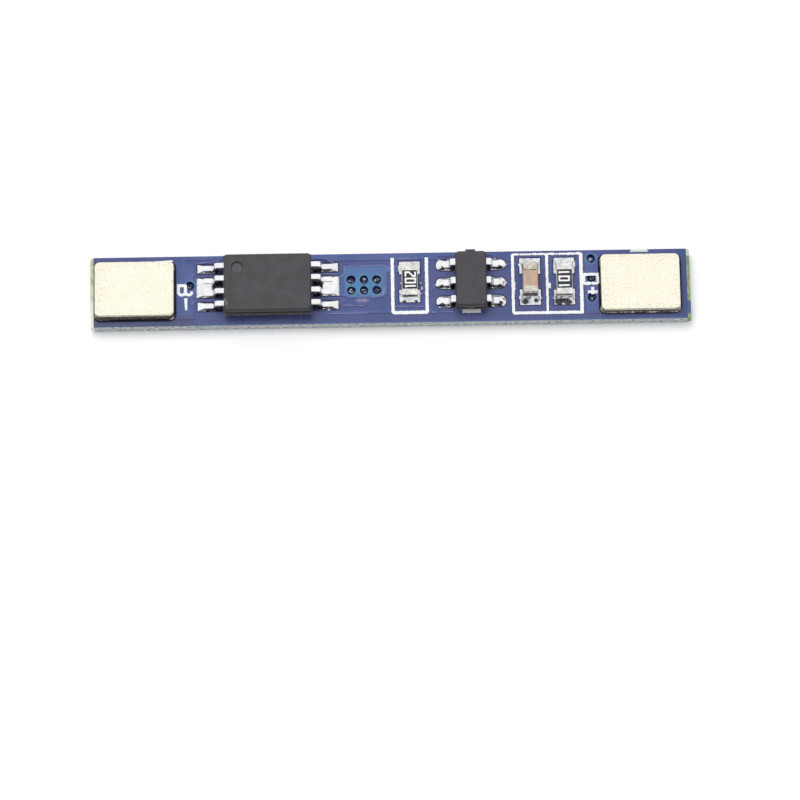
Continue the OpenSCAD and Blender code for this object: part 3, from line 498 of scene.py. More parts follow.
# %% Mask finish
def make_mask_finish():
    """Bluer over copper, duller over laminate, then painted edge light, pour, flux and holes."""
    material, tree, shader = new_finish("mask_blue", roughness=0.32)
    here = place(tree)
    xyz = axes(tree, here)
    clouds = speckle(tree, here, 0.9, 3.0, 0.4)
    grain = speckle(tree, here, 9.0, 3.0)
    over_copper = blend(tree, spread(tree, clouds, 0.35, 0.65), paint(68, 86, 142),
                        paint(82, 96, 150))
    over_laminate = blend(tree, spread(tree, clouds, 0.3, 0.7), paint(64, 78, 132),
                          paint(80, 86, 140))
    raised = spread(tree, xyz[2], mask_top.z - 0.03, mask_top.z - 0.006)
    colour = blend(tree, raised, over_laminate, over_copper)
    colour = edge_shade_and_highlight(tree, xyz, colour)
    colour = colour_pour(tree, here, clouds, raised, colour)
    colour = colour_flux(tree, here, xyz, grain, colour)
    colour = colour_round_holes(tree, here, colour)
    colour = blend(tree, spread(tree, grain, 0.55, 0.75, 0.0, 0.25), colour,
                   paint(104, 112, 160))
    feed(tree, shader, "Base Color", colour)
    feed(tree, shader, "Roughness", spread(tree, clouds, 0.3, 0.7, 0.26, 0.42))
    height = reckon(tree, "MULTIPLY_ADD", clouds, 1.0, times(tree, grain, 0.25))
    relief(tree, shader, height, 0.012, 0.6)
    return material


dress(make_mask_finish(), "mask_top", "mask_bottom")

# %% Laminate: its snapped ends
def left_end(tree, here, xyz):
    """Pale yellow-green resin, whitened towards the front where it tore."""
    resin = blend(tree, spread(tree, speckle(tree, here, 2.4, 4.0), 0.35, 0.65),
                  paint(140, 158, 112), paint(214, 216, 178))
    torn = spread(tree, xyz[1], -1.2, 0.6, 0.85, 0.0)
    return blend(tree, torn, resin, paint(242, 240, 230))


def right_end(tree, xyz, dusty):
    """Olive and green glass, with a pale corner at the back and a run of lacquer in front."""
    rim = laminate_high.x - 0.0475
    glass = blend(tree, spread(tree, xyz[0], rim - 0.04, rim), paint(136, 142, 104),
                  paint(122, 158, 120))
    glass = blend(tree, spread(tree, dusty, 0.4, 0.62), glass, paint(166, 180, 138))
    glass = blend(tree, spread(tree, xyz[1], 1.42, 1.5), glass, paint(218, 222, 202))
    lacquer = band(tree, xyz[1], -1.55, -1.5, -0.87, -0.81)
    return blend(tree, lacquer, glass, paint(80, 96, 146))


# %% Laminate: its sides
def saw_cut(tree, bundles, fibres, dusty):
    """Grey bundles of glass with pale cut fibres and some dust."""
    grey = blend(tree, spread(tree, bundles, 0.34, 0.66), paint(116, 124, 126),
                 paint(226, 230, 230))
    grey = blend(tree, spread(tree, fibres, 0.02, 0.2, 0.75, 0.0), grey, paint(228, 230, 226))
    return blend(tree, spread(tree, dusty, 0.58, 0.72, 0.0, 0.5), grey, paint(94, 104, 108))


# %% Laminate finish
def make_laminate_finish():
    """Sawn sides, snapped ends and what shows of the face."""
    material, tree, shader = new_finish("glass_fibre", roughness=0.62)
    here = place(tree)
    xyz = axes(tree, here)
    bundles = speckle(tree, stretched(tree, here, (5.0, 5.0, 12.0)), 1.0, 4.0, 0.3)
    fibres = add(tree, "TexVoronoi", {"Vector": stretched(tree, here, (1.0, 1.0, 1.6)),
                                      "Scale": 16.0}).outputs[0]
    dusty = speckle(tree, here, 3.2, 4.0)
    left = reckon(tree, "LESS_THAN", xyz[0], 0.0)
    ends = blend(tree, left, right_end(tree, xyz, dusty), left_end(tree, here, xyz))
    # At the left end the lacquer runs on over the edge of the face.
    face = reckon(tree, "GREATER_THAN", xyz[2], laminate_high.z - 0.012)
    run = times(tree, left, reckon(tree, "GREATER_THAN", xyz[0], mask_low.x - 0.085))
    ends = blend(tree, times(tree, run, face), ends, paint(52, 64, 112))
    out = reckon(tree, "ABSOLUTE", xyz[0])
    at_end = spread(tree, out, laminate_high.x - 0.22, laminate_high.x - 0.16)
    colour = blend(tree, at_end, saw_cut(tree, bundles, fibres, dusty), ends)
    # Its face shows pale where the mask leaves a patch bare; in the slits round the pads
    # it gets a dark painted shade.
    inner = reckon(tree, "LESS_THAN", out, laminate_high.x - 0.2)
    bare_patch_or_slit_shade = blend(tree, reckon(tree, "GREATER_THAN", xyz[1], 1.63), paint(44, 48, 80),
                  paint(226, 234, 224))
    feed(tree, shader, "Base Color", blend(tree, times(tree, face, inner), colour, bare_patch_or_slit_shade))
    relief(tree, shader, reckon(tree, "ADD", bundles, times(tree, fibres, 0.6)), 0.03, 0.9)
    return material


dress(make_laminate_finish(), "laminate")

# %% [markdown]
# ## Metals
# Copper that the mask leaves bare was dipped in solder, so the pads and the holes look like
# tin, not copper. Bright solder is nearly a mirror with long soft waves. Plated leads and end
# caps are duller. The tabs are nickel: warm, almost white, with fine dark pits that crowd
# towards the edges, where the stamping tool and handling wore the plate.

# %% A metal
def make_metal(name, light, dark, roughness, waves, depth, spots=0.0, spot_colour=(0, 0, 0, 1),
               painted_reflection=None):
    """A metal whose colour and gloss vary, with gentle waves and an optional sprinkle of dirt.

    The last argument gives a share and colour of painted dark reflection, from the tree and the
    coordinates."""
    material, tree, shader = new_finish(name, metallic=1.0, roughness=roughness)
    here = place(tree)
    cloud = speckle(tree, here, waves, 3.0, 0.2)
    fine = speckle(tree, here, waves * 6, 2.0)
    colour = blend(tree, spread(tree, cloud, 0.3, 0.7), dark, light)
    if spots:
        colour = blend(tree, spread(tree, fine, 0.66, 0.78, 0.0, spots), colour, spot_colour)
    # Painted dark reflection, where one is given.
    if painted_reflection:
        share, tint = painted_reflection(tree, here)
        colour = blend(tree, share, colour, tint)
    feed(tree, shader, "Base Color", colour)
    feed(tree, shader, "Roughness",
         spread(tree, fine, 0.3, 0.7, roughness * 0.7, roughness * 1.4))
    relief(tree, shader, reckon(tree, "ADD", cloud, times(tree, fine, 0.25)), depth)
    return material


# %% Painted dark reflections on the solder
SWITCH_MIDDLE, SWITCH_PITCH = middle_of("mosfet_body"), 0.65
CONTROLLER_MIDDLE, CONTROLLER_PITCH = middle_of("controller_body"), 0.95
# Painted dark reflections at the front of the chips: a middle and two half sizes for each spot.
DARK_REFLECTION_SPOTS = ((0.69, -0.72, 0.09, 0.06), (1.28, -0.71, 0.08, 0.07), (6.73, -0.83, 0.17, 0.13),
            (7.28, -0.79, 0.12, 0.1), (8.43, -0.87, 0.24, 0.15), (8.8, -0.87, 0.24, 0.15))


def dark_reflection_bands(tree, xyz, ragged_edge, middle, pitch, shift, near, far):
    """1 on ragged bands of painted dark reflection along the fronts of a chip's two rows of
    joints.
    """
    across = reckon(tree, "SUBTRACT", reckon(tree, "ADD", xyz[1], ragged_edge),
                    middle.y + shift)
    across = reckon(tree, "ABSOLUTE", reckon(tree, "WRAP", across, pitch / 2, -pitch / 2))
    out = reckon(tree, "ADD", ragged_edge, away_from(tree, xyz[0], middle.x))
    length = band(tree, out, near, near + 0.06, far - 0.1, far)
    return times(tree, length, spread(tree, across, 0.035, 0.06, 1.0, 0.0))


def painted_dark_reflections(tree, here):
    """Where dark reflections are painted on to the solder, and their colour."""
    xyz = axes(tree, here)
    edge = spread(tree, speckle(tree, here, 7.0, 3.0), 0.3, 0.7, -0.06, 0.06)
    share = dark_reflection_bands(tree, xyz, edge, SWITCH_MIDDLE, SWITCH_PITCH, 0.16, 2.5, 3.25)
    # The wide pads are wetted all over, so they have no band between their two feet.
    outside = spread(tree, away_from(tree, xyz[1], SWITCH_MIDDLE.y + 0.03), 0.2, 0.24)
    share = times(tree, share, outside)
    share = reckon(tree, "MAXIMUM", share,
                   dark_reflection_bands(tree, xyz, edge, CONTROLLER_MIDDLE, CONTROLLER_PITCH, -0.19,
                              0.95, 1.5))
    for x, y, wide, deep in DARK_REFLECTION_SPOTS:
        far = oval_distance(tree, here, (x, y), (1 / wide, 1 / deep))
        far = reckon(tree, "MULTIPLY_ADD", edge, 4.0, far)
        share = reckon(tree, "MAXIMUM", share, spread(tree, far, 0.8, 1.2, 1.0, 0.0))
    return times(tree, share, 0.92), paint(34, 34, 36)


# %% Solder, tin and silicon
# Bright and grey solder carry painted dark reflections at the fronts of the joints.
solder_bright = make_metal("solder_bright", paint(252, 252, 253), paint(232, 233, 236), 0.14,
                           3.0, 0.014, 0.5, paint(120, 118, 120), painted_dark_reflections)
solder_grey = make_metal("solder_grey", paint(242, 244, 246), paint(198, 200, 204), 0.24, 5.0,
                         0.014, 0.6, paint(130, 130, 132), painted_dark_reflections)
solder_dull = make_metal("solder_dull", paint(216, 214, 206), paint(88, 86, 82), 0.3, 7.0, 0.014,
                         0.6, paint(60, 58, 54))
tin_dipped = make_metal("tin_dipped", paint(236, 238, 240), paint(186, 188, 192), 0.26, 5.0,
                        0.012, 0.5, paint(110, 112, 116))
tin_plate = make_metal("tin_plate", paint(254, 254, 254), paint(240, 240, 242), 0.24, 4.0,
                       0.006)
tin_cap = make_metal("tin_cap", paint(254, 253, 250), paint(214, 212, 206), 0.26, 5.0, 0.012,
                     0.5, paint(120, 114, 104))
polished_silicon = make_metal("polished_silicon", paint(120, 120, 132),
                              paint(90, 90, 100), 0.1, 2.0, 0.001)
dress(tin_dipped, "copper_bottom", "via_barrels", "output_minus_tin", "output_plus_tin")
dress(polished_silicon, "mosfet_die", "controller_die")
dress(tin_plate, "controller_paddle")

# %% Tin on the pads
PAST_CHIPS = 10.3  # only the tabs' pads lie further out than this
SHOULDERS = ((SWITCH_MIDDLE, 2.7), (CONTROLLER_MIDDLE, 1.1))


def make_pad_metal():
    """Tin on the pads; round the tabs it gets a painted shade, almost black."""
    material, tree, shader = new_finish("pad_tin", metallic=1.0, roughness=0.3)
    here = place(tree)
    cloud = speckle(tree, here, 5.0, 3.0)
    x = axes(tree, here)[0]
    # Painted shade: round the tabs the pads are made almost black.
    shade_round_tab = reckon(tree, "GREATER_THAN", reckon(tree, "ABSOLUTE", x), PAST_CHIPS)
    tin = blend(tree, spread(tree, cloud, 0.3, 0.7), paint(190, 192, 196), paint(236, 238, 240))
    # Under the shoulders of the leads no solder reaches, and the tin there gets a painted shade.
    beneath = 0.0
    for middle, reach in SHOULDERS:
        out = reckon(tree, "MULTIPLY_ADD", cloud, 0.16, away_from(tree, x, middle.x))
        beneath = reckon(tree, "MAXIMUM", beneath,
                         spread(tree, out, reach, reach + 0.06, 1.0, 0.0))
    # Painted shade under the shoulders, in a near-black tone.
    flux = blend(tree, spread(tree, cloud, 0.4, 0.6), paint(30, 30, 34), paint(92, 92, 100))
    tin = blend(tree, beneath, tin, flux)
    feed(tree, shader, "Base Color", blend(tree, shade_round_tab, tin, paint(40, 42, 56)))
    relief(tree, shader, cloud, 0.012)
    return material


dress(make_pad_metal(), "copper_top")

# %% Nickel
TAB_REACH = 12.62  # from the board's middle to that of a tab


def nickel_plate_colour(tree, here, xyz, pits, grains):
    """Warm white with brown pits, which crowd towards the edges."""
    cloud = speckle(tree, here, 0.8, 3.0)
    warm = blend(tree, spread(tree, cloud, 0.3, 0.7), paint(253, 248, 226),
                 paint(254, 251, 236))
    along = away_from(tree, reckon(tree, "ABSOLUTE", xyz[0]), TAB_REACH)
    edge = reckon(tree, "MAXIMUM", spread(tree, along, 1.2, 1.95),
                  spread(tree, reckon(tree, "ABSOLUTE", xyz[1]), 0.8, 1.42))
    start = spread(tree, edge, 0.0, 1.0, 0.6, 0.53)
    amount = times(tree, reckon(tree, "SUBTRACT", pits, start), 9.0)
    amount = add(tree, "Clamp", {0: amount, 1: 0.0, 2: 0.6}).outputs[0]
    colour = blend(tree, amount, warm, paint(214, 196, 160))
    return blend(tree, spread(tree, grains, 0.56, 0.75, 0.0, 0.45), colour,
                 paint(220, 204, 172))


def make_nickel():
    """A blasted top, a bright rolled edge and a dull sheared side."""
    material, tree, shader = new_finish("nickel_plate", metallic=1.0, roughness=0.3)
    here = place(tree)
    xyz = axes(tree, here)
    pits = speckle(tree, here, 11.0, 3.0)
    grains = speckle(tree, here, 26.0, 2.0)
    colour = nickel_plate_colour(tree, here, xyz, pits, grains)
    # The sheared side below the rolled edge is dull and brown.
    tab_top = box("positive_tab")[1].z
    sheared = spread(tree, xyz[2], tab_top - 0.1, tab_top - 0.03, 1.0, 0.0)
    side = blend(tree, spread(tree, pits, 0.35, 0.65), paint(70, 66, 62), paint(136, 126, 110))
    feed(tree, shader, "Base Color", blend(tree, sheared, colour, side))
    # The blasted top scatters light; the rolled edge is bright metal; the side is neither.
    metal = spread(tree, xyz[2], tab_top - 0.02, tab_top - 0.003, 1.0, 0.62)
    metal = times(tree, metal, spread(tree, sheared, 0.0, 1.0, 1.0, 0.3))
    feed(tree, shader, "Metallic", metal)
    feed(tree, shader, "Roughness", spread(tree, pits, 0.3, 0.7, 0.26, 0.4))
    relief(tree, shader, reckon(tree, "ADD", pits, times(tree, grains, 0.5)), 0.004, 0.8)
    return material


nickel_plate = make_nickel()

# %% [markdown]
# ## Tabs
# Each tab is a punched nickel plate, 0.4 mm thick, whose upper edges the punch rolled over.
# A bevel modifier on a box would round the upright corners and the rim alike; rings let the
# corners keep their wide radius while the rim has its small one. The left tab's front wall
# leans back a little. The solder that holds a tab squeezes out under it as an uneven bead.

# %% Tabs
TAB_CORNER = 0.25  # radius of the upright corners
TAB_BURR = 0.02  # radius of the eased lower edge


def tab_rings(low, high, roll, lean):
    """Rings of a plate with a rolled upper edge, an eased lower one and a front that leans."""
    cx, cy, hx, hy = plan_of(low, high)
    rings = [ring(cx, cy, hx - TAB_BURR - 0.02, hy - TAB_BURR - 0.02, TAB_CORNER - 0.04, low.z, 8)]
    for turn in quarter_turn(3):
        inset = TAB_BURR * (1 - math.sin(turn))
        rings.append(ring(cx, cy, hx - inset, hy - inset, TAB_CORNER - inset,
                          low.z + TAB_BURR * (1 - math.cos(turn)), 8))
    for turn in quarter_turn(7):
        inset = roll * (1 - math.cos(turn))
        rings.append(ring(cx, cy + lean / 2, hx - inset, hy - inset - lean / 2,
                          TAB_CORNER - inset, high.z - roll * (1 - math.sin(turn)), 8))
    # One more ring on the flat keeps the flat top's shading flat.
    rings.append(ring(cx, cy + lean / 2, hx - roll - 0.02, hy - roll - 0.02 - lean / 2,
                      TAB_CORNER - roll - 0.02, high.z, 8))
    return rings


for side, roll, lean in (("negative", 0.07, 0.08), ("positive", 0.09, 0.0)):
    tab = piece(side + "_tab_plate", *skin(tab_rings(*box(side + "_tab"), roll, lean)),
                nickel_plate, "nickel")
    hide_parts(side + "_tab")


# %% Edges of solder
def bead(outer, inner, low_z, rise, seed, steps, belly, hollow=3.0):
    """Rings of solder that climb from an outline on the pad to the metal that they wet."""
    rings = [[(x, y, low_z) for x, y, _ in outer]]
    for k in range(steps + 1):
        u = k / steps
        row = []
        for (ax, ay, _), (bx, by, _) in zip(outer, inner):
            x, y = ax + (bx - ax) * u, ay + (by - ay) * u
            swell = rise(bx, by) * (belly * (1 - (1 - u) ** hollow) + (1 - belly) * u ** hollow)
            wave = noise.noise(Vector((x * 4.1, y * 4.1, seed * 7.3)))
            edge = math.sin(math.pi * min(1.0, u * 1.05)) if u else 0.0
            row.append((x, y, low_z + max(swell, 0.0) + 0.002 + 0.02 * wave * edge))
        rings.append(row)
    return rings


def ragged(points, cx, cy, amount, seed):
    """Moves an outline in and out a little, as solder does at its edge."""
    moved = []
    for x, y, z in points:
        away = Vector((x - cx, y - cy, 0)).normalized()
        push = amount * noise.noise(Vector((x * 2.6, y * 2.6, seed * 3.7)))
        moved.append((x + away.x * push, y + away.y * push, z))
    return moved


def subdivide_ring(points, longest):
    """Adds points along the straight runs of a ring."""
    out = []
    for a, b in zip(points, points[1:] + points[:1]):
        parts = max(1, math.ceil(math.dist(a, b) / longest))
        for k in range(parts):
            out.append(tuple(a[i] + (b[i] - a[i]) * k / parts for i in range(3)))
    return out


# %% Solder under the tabs
TUCK = 0.045  # how far the solder lies back from the tab's edge where it doesn't stand out
# Where it stands out: a place as shares of the tab's half sizes, a radius and a reach.
OOZE = {
    "negative": ((1.0, -1.0, 0.35, 0.07), (-1.0, -0.96, 0.3, 0.05), (-0.8, -1.0, 0.5, 0.035),
                 (0.85, 1.0, 0.7, 0.055)),
    "positive": ((-0.7, -1.0, 0.9, 0.07), (-0.2, -1.0, 0.9, 0.07), (0.3, -1.0, 0.9, 0.07),
                 (0.75, -1.0, 0.9, 0.07), (0.98, -0.95, 0.3, 0.07), (-0.98, -0.95, 0.35, 0.07),
                 (-1.0, 0.8, 0.3, 0.045), (1.0, 0.9, 0.35, 0.04)),
}


def tab_solder(side, seed):
    """The bead of solder round the foot of a tab."""
    low, high = box(side + "_tab_solder")
    cx, cy, _, _ = plan_of(low, high)
    _, _, hx, hy = plan_of(*box(side + "_tab"))
    outer, inner = [], []
    for x, y, _ in subdivide_ring(ring(cx, cy, hx, hy, TAB_CORNER, 0, 6), 0.06):
        out = -TUCK
        for share_x, share_y, radius, reach in OOZE[side]:
            gap = math.dist((x, y), (cx + share_x * hx, cy + share_y * hy)) / radius
            if gap < 1:
                out = max(out, -TUCK + (reach + TUCK) * min(1.0, 2.2 * (1 - gap)))
        out += 0.014 * noise.noise(Vector((x * 6.0, y * 6.0, seed + 0.5)))
        away = Vector((x - cx, (y - cy) * 1.3, 0)).normalized()
        outer.append((x + away.x * out, y + away.y * out, 0))
        inner.append((x - away.x * 0.09, y - away.y * 0.09, 0))

    def climb(x, y):
        lumpy = noise.noise(Vector((x * 5.0, y * 5.0, seed + 5.0)))
        return (high.z - low.z) * 0.9 + 0.1 * max(0.0, lumpy)

    rings = bead(outer, inner, low.z, climb, seed, 5, 0.7)
    solder = piece(side + "_tab_bead", *skin(rings), solder_dull, "solder", 60)
    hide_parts(side + "_tab_solder")


tab_solder("negative", 1)
tab_solder("positive", 2)

# %% Solder up the back of a tab
def climbing_solder():
    """Solder drawn up the back of the left tab, thickest at its corner."""
    corner = box("negative_tab")[1]
    base = box("negative_tab_solder")[0].z
    rows = []
    for k in range(25):
        u = k / 24
        rows.append((corner.x - 1.36 + 1.28 * u, corner.y - 0.03,
                     corner.y + 0.012 + 0.055 * u ** 1.5,
                     corner.z - 0.16 + 0.1 * min(1.0, 3 * u)))
    for k, turn in list(enumerate(quarter_turn(8)))[1:]:
        y = corner.y - 0.16 + 0.22 * math.cos(turn)
        rows.append((corner.x - 0.08 + 0.1 * math.sin(turn), y - 0.07, y,
                     corner.z - 0.06 - 0.12 * k / 8))
    return skin([[(x, inner, base), (x, outer, base), (x, outer - 0.005, top - 0.03),
                  (x, inner, top)] for x, inner, outer, top in rows])


piece("negative_tab_run", *climbing_solder(), solder_bright, "solder", 60)

# %% [markdown]
# ## Moulded housings
# Both chips are moulded in two halves that part at mid height. Each half tapers away from
# the parting line so that it leaves the tool, which squeezes out a hair of flash there. The
# compound is a dark grey epoxy full of fine glass, matt, and polished a little at its rims.

# %% Marks on a housing
DIMPLE_RADIUS = 0.28


def colour_parting(tree, here, low, high, colour):
    """Painted dark lines at the rim and over the parting line, and speckled flash on it."""
    level = axes(tree, here)[2]
    parting = (low.z + high.z) / 2
    # Painted light: the rim line stands for a dark reflection, the one over the parting for shade.
    rim = band(tree, level, high.z - 0.22, high.z - 0.17, high.z - 0.04, high.z - 0.01)
    seam_shade = band(tree, level, parting + 0.008, parting + 0.016, parting + 0.09, parting + 0.13)
    dark = reckon(tree, "MAXIMUM", times(tree, rim, 0.8), seam_shade)
    colour = blend(tree, times(tree, dark, 0.85), colour, paint(24, 23, 25))
    flash = blend(tree, spread(tree, speckle(tree, here, 12.0, 3.0), 0.48, 0.7),
                  paint(66, 62, 60), paint(158, 148, 134))
    near = band(tree, level, parting - 0.04, parting - 0.015, parting + 0.007, parting + 0.012)
    return blend(tree, times(tree, near, 0.9), colour, flash)


def colour_dimple(tree, here, centre, colour):
    """A polished floor, and a painted shade on the wall at the back of the dimple."""
    flat = stretched(tree, here, (1, 1, 0))
    away = distance(tree, flat, (centre[0], centre[1], 0))
    nearer = distance(tree, flat, (centre[0], centre[1] - 0.05, 0))
    # Painted shade: the dimple's back wall faces away from the light.
    wall = times(tree, spread(tree, away, DIMPLE_RADIUS, DIMPLE_RADIUS + 0.03, 1.0, 0.0),
                 spread(tree, nearer, DIMPLE_RADIUS - 0.015, DIMPLE_RADIUS + 0.01))
    colour = blend(tree, times(tree, wall, 0.8), colour, paint(38, 37, 40))
    floor = spread(tree, nearer, DIMPLE_RADIUS - 0.04, DIMPLE_RADIUS - 0.01, 0.85, 0.0)
    return blend(tree, floor, colour, paint(92, 91, 96))


# %% Housing finish
def make_moulding(name, tint, worn, low, high, dimple=None, rubbed=None):
    """Moulding compound, with the dimple and the rubbed corner of the switch chip if given."""
    material, tree, shader = new_finish(name, roughness=0.5, ior=1.48)
    here = place(tree)
    grain = speckle(tree, here, 22.0, 3.0)
    cloud = speckle(tree, here, 1.7, 3.0)
    colour = blend(tree, spread(tree, cloud, 0.3, 0.7), tint, worn)
    colour = blend(tree, spread(tree, grain, 0.5, 0.72, 0.0, 0.5), colour, paint(98, 97, 102))
    colour = colour_parting(tree, here, low, high, colour)
    if rubbed is not None:
        away = reckon(tree, "MULTIPLY_ADD", grain, 0.3, distance(tree, here, rubbed))
        colour = blend(tree, spread(tree, away, 0.25, 0.5, 0.7, 0.0), colour, paint(84, 62, 62))
    if dimple is not None:
        colour = colour_dimple(tree, here, dimple, colour)
    feed(tree, shader, "Base Color", colour)
    feed(tree, shader, "Roughness", spread(tree, grain, 0.3, 0.7, 0.6, 0.8))
    relief(tree, shader, grain, 0.006, 0.7)
    return material


switch_low, switch_high = box("mosfet_body")
controller_low, controller_high = box("controller_body")
dimple = (switch_low.x + 0.69, switch_high.y - 0.73)
switch_epoxy = make_moulding("switch_epoxy", paint(67, 67, 70), paint(76, 75, 79), switch_low,
                             switch_high, dimple,
                             (switch_high.x - 0.05, switch_high.y - 0.05, switch_high.z))
controller_epoxy = make_moulding("controller_epoxy", paint(68, 66, 71), paint(75, 72, 77),
                                 controller_low, controller_high)


# %% Rings of a housing
def moulded_rings(low, high, parting, draft, rim, corner, flash, ledge=0.0):
    """Rings of a two-half moulding with eased rims, and flash that may stand out in front."""
    cx, cy, hx, hy = plan_of(low, high)
    hx, hy = hx - flash, hy - flash
    slope = math.tan(math.radians(draft))
    rings = []

    def at(z, inset, extra=0.0, shelf=0.0):
        rings.append(ring(cx, cy - shelf / 2, hx - inset + extra, hy - inset + extra + shelf / 2,
                          corner * (0.4 if extra else 1.0), z, 6))

    at(low.z, slope * (parting - low.z) + rim + 0.02)
    for turn in quarter_turn(4):
        z = low.z + rim * (1 - math.sin(turn))
        at(low.z + rim * (1 - math.cos(turn)), slope * (parting - z) + rim * (1 - math.sin(turn)))
    at(parting - flash, slope * flash)
    at(parting - flash * 0.5, 0.0, flash, ledge)
    at(parting + flash * 0.5, 0.0, flash, ledge)
    at(parting + flash, slope * flash)
    for turn in quarter_turn(4):
        z = high.z - rim * (1 - math.sin(turn))
        at(z, slope * (z - parting) + rim * (1 - math.cos(turn)))
    at(high.z, slope * (high.z - parting) + rim + 0.02)
    return rings


# %% A dimple in the top
def dimpled_top(points, faces, centre, radius, deep):
    """Opens the flat top of a housing and sets a shallow round dimple in it."""
    mesh = bmesh.new()
    verts = [mesh.verts.new(p) for p in points]
    for f in faces[:-1]:
        mesh.faces.new([verts[i] for i in f])
    rim = [verts[i] for i in faces[-1]]
    top = rim[0].co.z
    rows = [[mesh.verts.new(p) for p in circle(*centre, share * radius, top - deep * sunk, 40)]
            for share, sunk in ((1.05, 0.0), (1.0, 0.0), (0.97, 0.35), (0.93, 0.75),
                                (0.88, 0.95), (0.8, 1.0), (0.4, 1.0))]
    mesh.verts.index_update()
    edges = []
    for lot in (rim, rows[0]):
        for a, b in zip(lot, lot[1:] + lot[:1]):
            edges.append(mesh.edges.get((a, b)) or mesh.edges.new((a, b)))
    bmesh.ops.triangle_fill(mesh, edges=edges, use_beauty=True, normal=(0, 0, 1))
    for upper, lower in zip(rows, rows[1:]):
        for j in range(len(upper)):
            k = (j + 1) % len(upper)
            mesh.faces.new((upper[j], upper[k], lower[k], lower[j]))
    mesh.faces.new(rows[-1])
    bmesh.ops.recalc_face_normals(mesh, faces=mesh.faces)
    bmesh.ops.scale(mesh, vec=(MM, MM, MM), verts=mesh.verts)
    out = bpy.data.meshes.new("housing")
    mesh.to_mesh(out)
    mesh.free()
    return out


# %% Housings
points, faces = skin(moulded_rings(switch_low, switch_high, SWITCH_MIDDLE.z, 7, 0.05, 0.12,
                                   0.012, 0.1))
switch_housing = settle("switch_housing",
                        dimpled_top(points, faces, dimple, DIMPLE_RADIUS, 0.045),
                        switch_epoxy, 28)
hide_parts("mosfet_body")

# The stub at the controller's back is the compound that set in the tool's gate.
nub_low = Vector((CONTROLLER_MIDDLE.x - 0.26, controller_high.y - 0.12,
                  CONTROLLER_MIDDLE.z - 0.12))
nub_high = Vector((CONTROLLER_MIDDLE.x + 0.24, box("controller_paddle")[1].y + 0.02,
                   CONTROLLER_MIDDLE.z + 0.14))
controller_housing = piece(
    "controller_housing",
    *join([skin(moulded_rings(controller_low, controller_high, CONTROLLER_MIDDLE.z, 7, 0.05,
                              0.14, 0.015, 0.05)),
           skin(moulded_rings(nub_low, nub_high, CONTROLLER_MIDDLE.z, 12, 0.03, 0.05, 0.005))]),
    controller_epoxy, "moulded_epoxy", 28)
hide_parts("controller_body")

# %% [markdown]
# ## Formed leads
# The leads are stamped from 0.15 mm strip and bent twice: out of the housing, down, and out
# again as a flat foot. They repeat in two rows that face away from each other, so Geometry
# Nodes make them: one tree sweeps a small rounded section along the bent path, sets copies
# out at the pitch, turns a second row round, makes the copies real and gives them tin. The
# tree is used twice, with the sizes of each chip on its named inputs.

# %% Opening and running a tree
def open_tree(name, inputs):
    """An empty tree with named inputs, and the identifiers that a modifier sets them by."""
    tree = bpy.data.node_groups.new(name, "GeometryNodeTree")
    tree.interface.new_socket("Geometry", in_out="INPUT", socket_type="NodeSocketGeometry")
    ids = {}
    for label, kind in inputs:
        socket = tree.interface.new_socket(label, in_out="INPUT",
                                           socket_type="NodeSocket" + kind)
        ids[label] = socket.identifier
    tree.interface.new_socket("Geometry", in_out="OUTPUT", socket_type="NodeSocketGeometry")
    return tree, ids


def close_tree(tree, geometry, material):
    """Makes copies real and gives them their material."""
    real = put(tree, "GeometryNodeRealizeInstances", {"Geometry": geometry})
    finished = put(tree, "GeometryNodeSetMaterial", {"Geometry": real.outputs[0],
                                                     "Material": material})
    out = put(tree, "NodeGroupOutput")
    tree.links.new(finished.outputs[0], out.inputs[0])


def run_tree(data, tree, ids, values):
    """Runs a tree on a curve or a mesh, and gives the result as a plain mesh."""
    holder = bpy.data.objects.new(data.name, data)
    scene.collection.objects.link(holder)
    modifier = holder.modifiers.new("tree", "NODES")
    modifier.node_group = tree
    for label, value in values.items():
        modifier[ids[label]] = value
    bpy.context.view_layer.update()
    seen = holder.evaluated_get(bpy.context.evaluated_depsgraph_get())
    mesh = bpy.data.meshes.new_from_object(seen)
    holder.modifiers.remove(modifier)
    bpy.data.objects.remove(holder)
    return mesh


